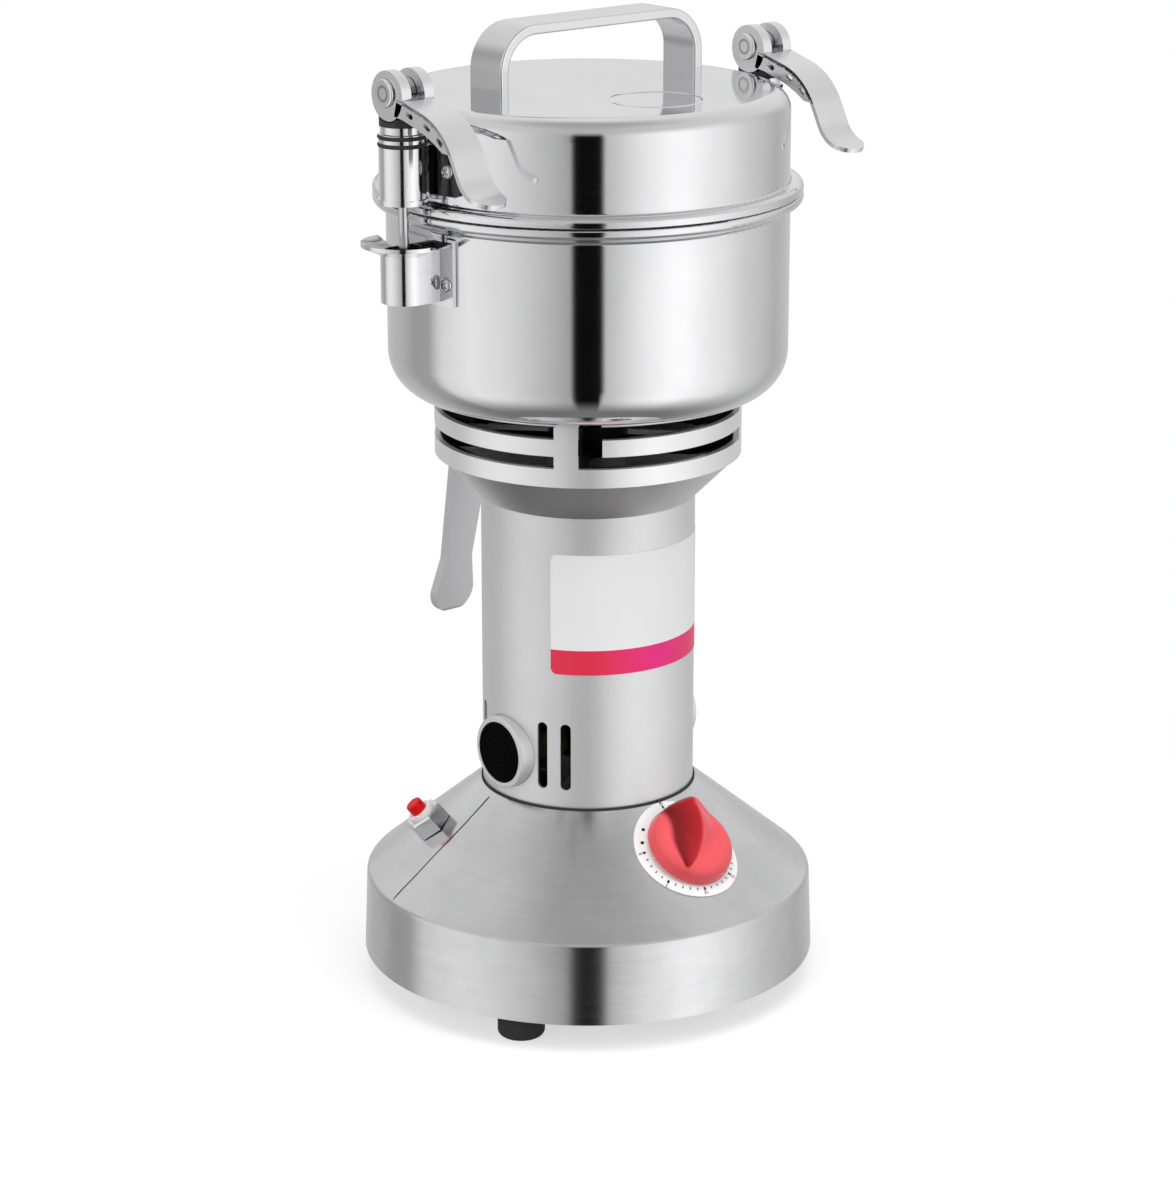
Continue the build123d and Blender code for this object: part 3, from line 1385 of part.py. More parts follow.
    # the lever: a bent strap with side flanges and a forked cam head
    with BuildPart() as lever:
        for direction in (-1, 1):
            with BuildSketch(side_plane.offset(direction * (lever_width / 2 - ear_thickness))):
                with Locations((cam_reach, cam_z)):
                    Circle(cam_radius)
            extrude(amount=direction * ear_thickness)
            with BuildSketch(side_plane.offset(direction * (lever_width / 2 - lever_sheet))):
                Polygon(*flange_points, align=None)
                for hole_reach, hole_height, hole_tilt in flange_holes:
                    with Locations((hole_reach, hole_height)):
                        SlotOverall(
                            flange_hole_length, flange_hole_width, rotation=hole_tilt, mode=Mode.SUBTRACT
                        )
            extrude(amount=direction * lever_sheet)
        with BuildSketch(side_plane):
            with BuildLine():
                FilletPolyline(*lever_points, radius=lever_bends)
                offset(amount=lever_sheet / 2, side=Side.BOTH)
            make_face()
        extrude(amount=lever_width / 2, both=True)
        with BuildSketch(Plane.XY):
            with Locations((axis_x, -(lever_reach - lever_width / 2))):
                Circle(lever_width / 2)
            with Locations((axis_x, -(lever_reach - lever_width / 2) / 2 + cam_radius)):
                Rectangle(lever_width, lever_reach - lever_width / 2 + 2 * cam_radius)
        extrude(amount=handle_top_z + cam_radius, mode=Mode.INTERSECT)
        with BuildSketch(side_plane):
            Circle(pin_radius + running_fit)
        extrude(amount=lever_width, both=True, mode=Mode.SUBTRACT)
    lever.part.label = f"{side_name}_clamp_lever"
    export_step(lever.part, f"parts/{side_name}_clamp_lever.step")

# the catches on the bowl, each with the slotted shelf that the cross bar passes
with BuildPart() as catches:
    for sign in (-1, 1):
        axis_x = sign * clamp_x
        upright = Plane(origin=(axis_x, 0, 0), x_dir=(sign, 0, 0), z_dir=(0, -sign, 0))
        with BuildSketch(upright):
            with BuildLine():
                Polyline(
                    (barrel_radius - catch_sheet, catch_top_z - catch_lip_drop - catch_sheet),
                    (barrel_radius, catch_top_z - catch_lip_drop - catch_sheet),
                    (catch_lip_reach, catch_top_z - catch_sheet),
                    (catch_lip_reach, catch_top_z),
                    (barrel_radius - catch_sheet, catch_top_z - catch_lip_drop),
                    close=True,
                )
            make_face()
        revolve(axis=Axis((axis_x, 0, 0), (0, 0, 1)))
        with BuildSketch(Plane.XY.offset(catch_bottom_z)):
            with Locations((axis_x - sign * catch_lip_reach, 0)):
                Rectangle(2 * catch_lip_reach, 3 * catch_lip_reach)
        extrude(amount=catch_top_z - catch_bottom_z, mode=Mode.SUBTRACT)
        with BuildSketch(Plane.XY.offset(catch_plate_bottom_z)):
            Circle(bowl_radius + seat_gap + catch_sheet)
            with Locations((sign * bowl_radius, 0)):
                Rectangle(clamp_x, catch_plate_width, mode=Mode.INTERSECT)
            Circle(bowl_radius + seat_gap, mode=Mode.SUBTRACT)
        extrude(amount=catch_plate_height)
        with BuildSketch(Plane.XY.offset(catch_bottom_z)):
            with Locations((axis_x, 0)):
                Circle(barrel_radius)
            with Locations((sign * (clamp_x + bowl_radius) / 2, 0)):
                Rectangle(clamp_x - bowl_radius, 2 * barrel_radius)
            with Locations((axis_x, 0)):
                Circle(barrel_radius - catch_sheet, mode=Mode.SUBTRACT)
            with Locations((sign * (clamp_x + bowl_radius + seat_gap + catch_sheet) / 2, 0)):
                Rectangle(
                    clamp_x - bowl_radius - seat_gap - catch_sheet,
                    2 * (barrel_radius - catch_sheet),
                    mode=Mode.SUBTRACT,
                )
            Circle(bowl_radius + seat_gap, mode=Mode.SUBTRACT)
        extrude(amount=catch_top_z - catch_lip_drop - catch_bottom_z)
        with BuildSketch(Plane.XY.offset(shelf_bottom_z)):
            with Locations((axis_x, 0)):
                Circle(barrel_radius - catch_sheet / 2)
            with Locations((sign * (clamp_x + bowl_radius) / 2, 0)):
                Rectangle(clamp_x - bowl_radius, 2 * barrel_radius - catch_sheet)
            with Locations((axis_x, 0)):
                SlotOverall(
                    tee_length + 2 * tee_slot_clearance,
                    2 * (tee_radius + tee_slot_clearance),
                    rotation=90,
                    mode=Mode.SUBTRACT,
                )
            Circle(bowl_radius + seat_gap, mode=Mode.SUBTRACT)
        extrude(amount=shelf_thickness)
        for screw_azimuth in catch_screw_azimuths:
            with BuildSketch(radial_plane(sign * 90.0 + screw_azimuth, bowl_radius, catch_screw_z)):
                Circle(clamp_screw_radius + running_fit)
            extrude(amount=catch_sheet * 4, mode=Mode.SUBTRACT)

catches.part.label = "catches"
export_step(catches.part, "parts/catches.step")

with BuildPart() as clamp_o_rings:
    for sign in (-1, 1):
        for depth in o_ring_depths:
            with BuildSketch(Plane.XZ):
                with Locations((sign * (clamp_x + o_ring_centre_radius), barrel_top_z - depth)):
                    Circle(o_ring_radius)
            revolve(axis=Axis((sign * clamp_x, 0, 0), (0, 0, 1)))

clamp_o_rings.part.label = "clamp_o_rings"
export_step(clamp_o_rings.part, "parts/clamp_o_rings.step")

for screws_name, azimuths, screw_z, wall_radius, sheet in (
    ("barrel_screws", barrel_screw_azimuths, barrel_screw_z, lid_radius, bracket_plate),
    ("catch_screws", catch_screw_azimuths, catch_screw_z, bowl_radius, catch_sheet),
):
    with BuildPart() as wall_screws:
        for sign in (-1, 1):
            for screw_azimuth in azimuths:
                head_radius = wall_radius + seat_gap + sheet
                head_plane = radial_plane(sign * 90.0 + screw_azimuth, head_radius, screw_z)
                with BuildSketch(head_plane):
                    Circle(clamp_screw_head)
                extrude(amount=clamp_screw_head_height)
                with BuildSketch(head_plane):
                    Circle(clamp_screw_radius)
                extrude(amount=-(sheet + seat_gap + lid_wall))
    wall_screws.part.label = screws_name
    export_step(wall_screws.part, f"parts/{screws_name}.step")
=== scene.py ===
"""Looks of an electric grain mill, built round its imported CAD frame."""

import logging
import math
from collections.abc import Iterable
from dataclasses import dataclass
from enum import Enum

import bmesh
import bpy
from mathutils import Matrix, Vector


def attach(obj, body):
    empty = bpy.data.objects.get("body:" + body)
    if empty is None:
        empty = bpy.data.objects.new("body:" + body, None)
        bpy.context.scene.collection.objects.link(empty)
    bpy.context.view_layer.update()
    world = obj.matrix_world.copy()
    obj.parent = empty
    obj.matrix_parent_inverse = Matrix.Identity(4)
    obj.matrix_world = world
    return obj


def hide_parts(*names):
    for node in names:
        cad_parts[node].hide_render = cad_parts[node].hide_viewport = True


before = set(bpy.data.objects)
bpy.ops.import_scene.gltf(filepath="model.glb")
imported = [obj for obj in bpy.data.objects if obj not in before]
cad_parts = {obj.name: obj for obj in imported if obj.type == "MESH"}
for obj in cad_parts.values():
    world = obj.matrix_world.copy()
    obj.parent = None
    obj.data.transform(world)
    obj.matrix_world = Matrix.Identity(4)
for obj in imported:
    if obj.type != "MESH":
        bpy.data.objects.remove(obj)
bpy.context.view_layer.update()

log = logging.getLogger("grain_mill")

Socket = bpy.types.NodeSocket
Node = bpy.types.Node
Mesh = bmesh.types.BMesh
Pair = tuple[float, float]
Point = tuple[float, float, float]
Colour = tuple[float, float, float]
SHARP_ANGLE = 35.0
SAME_PLACE = 1e-6

# Places that more than one piece or finish is set out from, in metres.
TIMER_CENTRE: Point = (0, -0.062, 0.069023)
CLAMP_X = 0.091
CLAMP_PIN_Z = 0.376219


class Body(Enum):
    """The moving bodies that new pieces ride on."""

    FRAME = "frame"
    LID = "lid"
    KNOB = "timer_knob"
    LEFT_LEVER = "left_lever"
    RIGHT_LEVER = "right_lever"


class Slot(Enum):
    """The names of material slots. Nothing in this script uses them."""

    FASTENER = "fastener_steel"
    CLAMP = "clamp_metal"
    BOWL = "bowl_steel"
    DIAL = "dial_white"
    BLACK = "black_plastic"
    RUBBER = "rubber_black"
    KNOB = "red_knob"


# ---------------------------------------------------------------- shader graphs


class Value:
    """What a node puts out. Numbers among them are reckoned with by the usual signs."""

    def __init__(self, graph: "Graph", socket: Socket) -> None:
        """Keeps the socket that gives the value."""
        self.graph, self.socket = graph, socket

    def __add__(self, other: "Number") -> "Value":
        """Returns the sum of both."""
        return self.graph.math("ADD", self, other)

    def __sub__(self, other: "Number") -> "Value":
        """Returns this less the other."""
        return self.graph.math("SUBTRACT", self, other)

    def __rsub__(self, other: float) -> "Value":
        """Returns a plain number less this."""
        return self.graph.math("SUBTRACT", other, self)

    def __mul__(self, other: "Number") -> "Value":
        """Returns the product of both."""
        return self.graph.math("MULTIPLY", self, other)

    def __truediv__(self, other: "Number") -> "Value":
        """Returns this over the other."""
        return self.graph.math("DIVIDE", self, other)

    def __rtruediv__(self, other: float) -> "Value":
        """Returns a plain number over this."""
        return self.graph.math("DIVIDE", other, self)

    def __abs__(self) -> "Value":
        """Returns the number without its sign."""
        return self.graph.math("ABSOLUTE", self)

    def share(self, low: float, high: float) -> "Value":
        """Returns how far the number is from one to another, held between 0 and 1."""
        return self.graph.out("ShaderNodeMapRange", {0: self, 1: low, 2: high})

    def between(self, low: "Number", high: "Number", start: "Number" = 0.0, end: "Number" = 1.0) -> "Value":
        """Returns the number carried smoothly from one range to another."""
        feeds = {0: self, 1: low, 2: high, 3: start, 4: end}
        return self.graph.out("ShaderNodeMapRange", feeds, interpolation_type="SMOOTHSTEP")


Number = Value | float
Tone = Value | Colour | float
Feeds = dict[str | int, object]
Given = dict[str, Value]


def rgba(tone: Tone) -> Value | tuple[float, float, float, float]:
    """Returns a colour or a grey level with full alpha, and a value as it is."""
    if isinstance(tone, Value):
        return tone
    return (*tone, 1.0) if isinstance(tone, tuple) else (tone, tone, tone, 1.0)


class Graph:
    """Adds and joins the nodes of one node tree."""

    def __init__(self, tree: bpy.types.NodeTree) -> None:
        """Keeps the tree that the nodes go into."""
        self.tree = tree

    def add(self, kind: str, feeds: Feeds | None = None, **settings: object) -> Node:
        """Adds a node, sets it and feeds its inputs.

        Args:
            kind: Blender's type name of the node.
            feeds: a plain value, a socket or a Value for each input, by name or place.
            settings: the node's own properties.

        Returns:
            The new node.
        """
        node = self.tree.nodes.new(kind)
        for key, value in settings.items():
            setattr(node, key, value)
        self.feed(node, feeds or {})
        return node

    def feed(self, node: Node, feeds: Feeds) -> None:
        """Links sockets to a node's inputs, or sets the inputs' own values."""
        for key, value in feeds.items():
            source = value.socket if isinstance(value, Value) else value
            if isinstance(source, Socket):
                self.tree.links.new(source, node.inputs[key])
            else:
                node.inputs[key].default_value = source

    def out(self, kind: str, feeds: Feeds | None = None, **settings: object) -> Value:
        """Returns the first output of a new node."""
        return Value(self, self.add(kind, feeds, **settings).outputs[0])

    def math(self, operation: str, first: Number, second: Number = 0.0, third: Number = 0.0) -> Value:
        """Returns the result of a Math node."""
        return self.out("ShaderNodeMath", {0: first, 1: second, 2: third}, operation=operation)

    def length(self, x: Value, y: Value) -> Value:
        """Returns the length of the diagonal between two numbers at right angles."""
        return self.math("SQRT", x * x + y * y)

    def join(self, x: Value, y: Value, z: Value) -> Value:
        """Returns a vector made of three numbers."""
        return self.out("ShaderNodeCombineXYZ", {0: x, 1: y, 2: z})

    def split(self, vector: Value) -> tuple[Value, ...]:
        """Returns the three numbers of a vector."""
        numbers = self.add("ShaderNodeSeparateXYZ", {0: vector}).outputs
        return tuple(Value(self, number) for number in numbers)

    def dot(self, first: Value, second: Vector) -> Value:
        """Returns how far one vector goes along another."""
        feeds = {0: first, 1: second}
        return Value(self, self.add("ShaderNodeVectorMath", feeds, operation="DOT_PRODUCT").outputs["Value"])

    def noise(self, vector: Value, scale: Number = 1.0, detail: float = 3.0, roughness: float = 0.6) -> Value:
        """Returns the value of a Noise texture."""
        feeds = {"Vector": vector, "Scale": scale, "Detail": detail, "Roughness": roughness}
        return self.out("ShaderNodeTexNoise", feeds)

    def blend(self, factor: Number, first: Tone, second: Tone) -> Value:
        """Returns a mix of two colours."""
        feeds = {0: factor, 6: rgba(first), 7: rgba(second)}
        return Value(self, self.add("ShaderNodeMix", feeds, data_type="RGBA").outputs[2])

    def mix(self, factor: Number, first: Value, second: Value) -> Value:
        """Returns a mix of two shaders."""
        return self.out("ShaderNodeMixShader", {0: factor, 1: first, 2: second})

    def ramp(self, value: Value, stops: Iterable[tuple[float, Tone]]) -> Value:
        """Returns the colour of a Color Ramp.

        Args:
            value: the number that picks the colour.
            stops: the place and the colour, or grey level, of each stop.

        Returns:
            The ramp's colour.
        """
        node = self.add("ShaderNodeValToRGB", {0: value})
        marks = node.color_ramp.elements
        for count, (place, tone) in enumerate(stops):
            mark = marks[count] if count < 2 else marks.new(place)
            mark.position = place
            mark.color = rgba(tone)
        return Value(self, node.outputs[0])

    def own(self) -> Value:
        """Returns the object's own coordinates."""
        return Value(self, self.add("ShaderNodeTexCoord").outputs["Object"])

    def placed(self, centre: Point = (0, 0, 0), turn: Point = (0, 0, 0)) -> Value:
        """Returns the object's own coordinates, centred and turned for a pattern.

        Args:
            centre: the point that becomes the pattern's origin.
            turn: the pattern's turn about each axis, in degrees.

        Returns:
            The mapped coordinates.
        """
        moved = self.out("ShaderNodeMapping", {0: self.own(), 1: tuple(-value for value in centre)})
        return self.out("ShaderNodeMapping", {0: moved, 2: tuple(math.radians(value) for value in turn)})

    def rays(self) -> tuple[Value, Value]:
        """Returns whether a ray is the camera's own, and whether it is mirrored or passes through."""
        path = self.add("ShaderNodeLightPath").outputs
        mirrored = self.math("MAXIMUM", path["Is Glossy Ray"], path["Is Transmission Ray"])
        return Value(self, path["Is Camera Ray"]), mirrored


def cleared(owner: bpy.types.Material | bpy.types.World) -> Graph:
    """Returns the emptied node tree of a material or a world."""
    owner.use_nodes = True
    owner.node_tree.nodes.clear()
    return Graph(owner.node_tree)


class Effect:
    """A shader node group that is built once and placed in many materials."""

    name = "effect"
    entries: dict[str, float] = {}
    result = "Value"

    def __init__(self) -> None:
        """Starts with no node group."""
        self.tree: bpy.types.NodeTree | None = None

    def make(self, graph: Graph, given: Given) -> Value:
        """Builds the effect's nodes from its entries and returns its result."""
        raise NotImplementedError

    def group(self) -> bpy.types.NodeTree:
        """Returns the effect's node group, built on first use."""
        if self.tree is None:
            self.tree = bpy.data.node_groups.new(self.name, "ShaderNodeTree")
            face = self.tree.interface
            face.new_socket(name="Vector", in_out="INPUT", socket_type="NodeSocketVector")
            for entry in self.entries:
                face.new_socket(name=entry, in_out="INPUT", socket_type="NodeSocketFloat")
            face.new_socket(name=self.result, in_out="OUTPUT", socket_type="NodeSocketFloat")
            graph = Graph(self.tree)
            given = {socket.name: Value(graph, socket) for socket in graph.add("NodeGroupInput").outputs}
            graph.add("NodeGroupOutput", {self.result: self.make(graph, given)})
        return self.tree

    def place(self, graph: Graph, vector: Value, **values: float) -> Value:
        """Puts the effect in a material.

        Args:
            graph: the material's graph.
            vector: the coordinates that the effect reads.
            values: the effect's own values, by the name of each entry.

        Returns:
            The effect's result.
        """
        feeds = {"Vector": vector, **self.entries, **values}
        return graph.out("ShaderNodeGroup", feeds, node_tree=self.group())


class TurnedLines(Effect):
    """Fine lines that run round the pattern's Z axis, as a lathe or a spinning tool leaves them."""

    name = "turned_lines"
    entries = {"Fineness": 1500.0, "Sweep": 3.0}
    result = "Lines"
    coarseness = 0.22
    fine_share = 0.65
    least_radius = 0.001

    def make(self, graph: Graph, given: Given) -> Value:
        """Reads noise along the profile, held long round the axis."""
        x, y, z = graph.split(given["Vector"])
        radius = graph.length(x, y)
        safe = graph.math("MAXIMUM", radius, self.least_radius)
        east, north = x / safe * given["Sweep"], y / safe * given["Sweep"]
        across = (z - radius) * given["Fineness"]
        fine = graph.noise(graph.join(east, north, across))
        coarse = graph.noise(graph.join(east, north, across * self.coarseness), detail=2.0, roughness=0.5)
        return fine * self.fine_share + coarse * (1 - self.fine_share)


class StraightLines(Effect):
    """Fine lines that run along the pattern's X axis, as a belt leaves them."""

    name = "straight_lines"
    entries = {"Fineness": 1500.0, "Length": 25.0}
    result = "Lines"

    def make(self, graph: Graph, given: Given) -> Value:
        """Reads noise that is drawn out along X and squeezed along Y."""
        x, y, z = graph.split(given["Vector"])
        return graph.noise(graph.join(x * given["Length"], y * given["Fineness"], z * given["Length"]))


class SoftPatches(Effect):
    """Broad soft patches, such as handling marks and uneven shine."""

    name = "soft_patches"
    entries = {"Size": 0.03}
    result = "Patches"
    contrast: Pair = (0.3, 0.7)

    def make(self, graph: Graph, given: Given) -> Value:
        """Reads a low noise with its middle spread out."""
        return graph.noise(given["Vector"], 1.0 / given["Size"], roughness=0.55).between(*self.contrast)


class Grain(Effect):
    """A close grain, such as a mould's texture or a casting's skin."""

    name = "grain"
    entries = {"Size": 0.0008}
    result = "Grain"

    def make(self, graph: Graph, given: Given) -> Value:
        """Reads a fine noise with two octaves."""
        return graph.noise(given["Vector"], 1.0 / given["Size"], detail=2.0)


TURNED = TurnedLines()
STRAIGHT = StraightLines()
PATCHES = SoftPatches()
GRAIN = Grain()


# ---------------------------------------------------------------- finishes


@dataclass(frozen=True)
class Finish:
    """A surface finish, which makes one material of its own name."""

    name: str
    colour: Colour | float = 0.8
    roughness: float = 0.4
    spread: float = 0.06
    mottle: float = 0.04
    patch: float = 0.03
    depth: float = 6e-6

    def material(self) -> bpy.types.Material:
        """Returns the material of the finish's name, built if there is none of that name yet."""
        made = bpy.data.materials.get(self.name)
        if made is None:
            made = bpy.data.materials.new(self.name)
            graph = cleared(made)
            shader = graph.add("ShaderNodeBsdfPrincipled")
            graph.add("ShaderNodeOutputMaterial", {"Surface": shader.outputs[0]})
            self.shade(graph, shader)
        return made

    def shade(self, graph: Graph, shader: Node) -> None:
        """Sets up the shader for this finish."""
        raise NotImplementedError

    def mottled(self, graph: Graph, patches: Value, tone: Tone) -> Value:
        """Returns a tone, a little darker in some patches."""
        return graph.blend(patches * self.mottle, tone, 0.0)

    def tint(self, graph: Graph, patches: Value) -> Value:
        """Returns the finish's colour over the surface."""
        return self.mottled(graph, patches, self.colour)

    def rough(self, value: Value) -> Value:
        """Returns the roughness, a little more where the value is high."""
        return value.between(0.0, 1.0, self.roughness, self.roughness + self.spread)

    def cover(
        self, graph: Graph, shader: Node, tone: Value, rough: Value, height: Value, **uniform: float
    ) -> None:
        """Feeds the shader with what varies over the surface and sets what doesn't.

        Args:
            graph: the material's graph.
            shader: the material's shader.
            tone: the colour over the surface.
            rough: the roughness over it.
            height: the relief, from 0 to 1, which stands for the finish's depth.
            uniform: the values of the shader's other inputs, with _ for each space.
        """
        bump = graph.out("ShaderNodeBump", {"Height": height, "Distance": self.depth, "Strength": 1.0})
        plain = {entry.replace("_", " "): value for entry, value in uniform.items()}
        graph.feed(shader, {"Base Color": tone, "Roughness": rough, "Normal": bump, **plain})


class Tooling(Enum):
    """How the lines in a metal's surface run."""

    TURNED = "turned"
    STRAIGHT = "straight"
    NONE = "none"


@dataclass(frozen=True)
class Metal(Finish):
    """Bare or plated metal with tool lines and uneven shine."""

    tooling: Tooling = Tooling.TURNED
    fineness: float = 1500.0
    streak: float = 0.08
    metallic: float = 1.0
    turn: Point = (0, 0, 0)

    def lines(self, graph: Graph, place: Value) -> Value:
        """Returns the tool lines' value."""
        if self.tooling is Tooling.NONE:
            return GRAIN.place(graph, place, Size=1.0 / self.fineness)
        effect = TURNED if self.tooling is Tooling.TURNED else STRAIGHT
        return effect.place(graph, place, Fineness=self.fineness)

    def shade(self, graph: Graph, shader: Node) -> None:
        """Varies shine and colour along the lines and in broad patches."""
        place = graph.placed(turn=self.turn)
        lines = self.lines(graph, place)
        patches = PATCHES.place(graph, place, Size=self.patch)
        tone = graph.blend(lines * self.streak, self.tint(graph, patches), 0.0)
        rough = graph.math("MULTIPLY_ADD", lines, self.spread, self.roughness - self.spread / 2)
        self.cover(graph, shader, tone, rough, lines, Metallic=self.metallic)


@dataclass(frozen=True)
class TwoToneMetal(Metal):
    """Metal of one tone near an upright axis and of another past a reach from it."""

    far: Colour | float = (0.05, 0.05, 0.052)
    axis_x: float = 0.0
    reach: float = 0.01
    soften: float = 0.0003

    def tint(self, graph: Graph, patches: Value) -> Value:
        """Returns the near tone close to the axis and the far one past its reach."""
        x, y, _ = graph.split(graph.own())
        out = graph.length(abs(x) - self.axis_x, y).between(self.reach, self.reach + self.soften)
        return graph.blend(out, *(self.mottled(graph, patches, tone) for tone in (self.colour, self.far)))


@dataclass(frozen=True)
class TurnedCasting(TwoToneMetal):
    """A casting with painted shade inside, a darker tone below a height with painted shade in front, and
    turned bright above it.
    """

    cast: Colour = (0.27, 0.27, 0.275)
    lower_side_tone: float = 0.72
    lower_tone_top: Pair = (0.2228, 0.2230)
    front: Pair = (-0.788, -0.616)
    facing: Pair = (0.62, 1.0)

    def tint(self, graph: Graph, patches: Value) -> Value:
        """Returns the turned tone above a lower tone that has painted shade in front."""
        x, y, height = graph.split(graph.own())
        # Painted shade: below the flange the tone turns dark where the surface faces the camera's side.
        facing_camera_side = (x * self.front[0] + y * self.front[1]) / graph.length(x, y)
        skin = graph.blend(facing_camera_side.between(*self.facing), self.lower_side_tone, self.cast)
        return graph.blend(height.between(*self.lower_tone_top), skin, super().tint(graph, patches))


@dataclass(frozen=True)
class ReflectedLineMetal(Metal):
    """Turned metal with a painted reflection: one fine dark line that runs straight out from the axis."""

    line_reflection: float = 0.035
    azimuth: float = 169.5
    line_reflection_edge: Pair = (0.0003, 0.0006)
    line_reflection_wander: float = 0.0012
    line_reflection_start: Pair = (0.0455, 0.0465)
    line_reflection_end: Pair = (0.0892, 0.0912)

    def tint(self, graph: Graph, patches: Value) -> Value:
        """Returns the metal's tone with the painted reflection line drawn in it."""
        x, y, _ = graph.split(graph.own())
        across, along = math.sin(math.radians(self.azimuth)), math.cos(math.radians(self.azimuth))
        out = x * along + y * across
        off = abs(x * across - y * along + (patches - 0.5) * self.line_reflection_wander)
        run = out.between(*self.line_reflection_start) * out.between(*self.line_reflection_end, 1.0, 0.0)
        # Painted reflection: a fine dark line on the turned metal, running out from the axis.
        reflected_line = off.between(*self.line_reflection_edge, 1.0, 0.0) * run
        return graph.blend(reflected_line, super().tint(graph, patches), self.line_reflection)


@dataclass(frozen=True)
class RivetMetal(Metal):
    """Bright metal with a painted shade ring round its crossways pin's head, the shade of a domed head's
    edge.
    """

    ring: float = 0.10
    ring_inner: Pair = (0.0018, 0.0026)
    ring_outer: Pair = (0.0030, 0.0034)
    amount: float = 0.55

    def tint(self, graph: Graph, patches: Value) -> Value:
        """Returns the metal's tone with the painted shade ring round the pin's axis."""
        _, y, z = graph.split(graph.own())
        out = graph.length(y, z - CLAMP_PIN_Z)
        # Painted shade: a dark ring where a domed head's edge would fall into shade.
        ring_shade = out.between(*self.ring_inner) * out.between(*self.ring_outer, 1.0, 0.0) * self.amount
        return graph.blend(ring_shade, super().tint(graph, patches), self.ring)


@dataclass(frozen=True)
class Plastic(Finish):
    """Moulded plastic or rubber with a close grain."""

    depth: float = 10e-6
    grain: float = 0.0006
    coat: float = 0.0
    coat_roughness: float = 0.12
    specular: float = 0.5

    def shade(self, graph: Graph, shader: Node) -> None:
        """Gives the plastic its grain, uneven shine and clear skin."""
        place = graph.placed()
        patches = PATCHES.place(graph, place, Size=self.patch)
        grain = GRAIN.place(graph, place, Size=self.grain)
        skin = {"Coat_Weight": self.coat, "Coat_Roughness": self.coat_roughness}
        tone = self.tint(graph, patches)
        self.cover(graph, shader, tone, self.rough(patches), grain, Specular_IOR_Level=self.specular, **skin)


@dataclass(frozen=True)
class Ridge:
    """The line of the timer knob's finger ridge, across the knob's tilted face."""

    slope: float = 39.2
    turn: float = 36.0
    reach: float = 0.0165
    run: float = 0.0270
    bow: float = 0.0042
    bend: float = 0.85
    lift: float = 0.0006


RIDGE = Ridge()


@dataclass(frozen=True)
class KnobPlastic(Plastic):
    """Moulded red plastic with painted shade in the leaf on one flank of the knob's ridge."""

    # Painted shade of the leaf: darkest at its far side, lighter next to the crest.
    deep: Colour = (0.17, 0.0, 0.002)
    crest_side_shade: Colour = (0.40, 0.006, 0.012)
    leaf_shade_ramp: Pair = (-0.75, 0.0)
    amount: float = 0.96
    leaf_start: float = 0.0168
    leaf_run: float = 0.0140
    leaf_width: float = 0.0122
    leaf_tip: float = 0.0006
    leaf_fade: float = 0.12
    leaf_edge: Pair = (-1.08, -0.80)
    crest_edge: Pair = (-0.06, 0.10)

    def tint(self, graph: Graph, patches: Value) -> Value:
        """Returns the knob's tone with painted shade between the ridge's crest and the leaf's soft far side.
        """
        level = graph.placed(TIMER_CENTRE, (-RIDGE.slope, 0, 0))
        turned = graph.out("ShaderNodeMapping", {0: level, 2: (0, 0, math.radians(RIDGE.turn))})
        x, y, _ = graph.split(turned)
        half = graph.math("MULTIPLY_ADD", y.share(-RIDGE.reach, RIDGE.run - RIDGE.reach), 2.0, -RIDGE.bend)
        bow = half * half * RIDGE.bow - RIDGE.lift
        span = y.share(-self.leaf_start, self.leaf_run - self.leaf_start)
        rest = 1.0 - span
        width = graph.math("MAXIMUM", (1.0 - rest * rest) * self.leaf_width, self.leaf_tip)
        across = (x + bow) / width
        fade = span.between(0.0, self.leaf_fade, 0.0, self.amount)
        # Painted shade mask: the leaf between the crest and its soft far side.
        leaf_shade_mask = across.between(*self.leaf_edge) * across.between(*self.crest_edge, 1.0, 0.0) * fade
        tone = graph.blend(across.between(*self.leaf_shade_ramp), self.deep, self.crest_side_shade)
        return graph.blend(leaf_shade_mask, super().tint(graph, patches), tone)


@dataclass(frozen=True)
class Print(Finish):
    """Printed white stock with a coloured band along its lower edge."""

    spread: float = 0.1
    depth: float = 4e-6
    grain: float = 0.0009
    band_top: Pair = (0.1511, 0.1513)
    band_width: float = math.tau / 3
    edge: Colour = (0.80, 0.022, 0.07)
    middle: Colour = (0.84, 0.008, 0.23)
    middle_span: tuple[float, float, float] = (0.22, 0.5, 0.85)

    def shade(self, graph: Graph, shader: Node) -> None:
        """Colours the band by its place round the motor's axis."""
        place = graph.placed()
        x, y, z = graph.split(place)
        grain = GRAIN.place(graph, place, Size=self.grain)
        patches = PATCHES.place(graph, place, Size=self.patch)
        along = graph.math("ARCTAN2", x, y * -1.0) / self.band_width + 0.5
        tones = (self.edge, self.edge, self.middle, self.edge)
        band = graph.ramp(along, zip((0.0, *self.middle_span), tones))
        tone = self.mottled(graph, patches, graph.blend(z.between(*self.band_top), band, self.colour))
        self.cover(graph, shader, tone, self.rough(grain), grain)


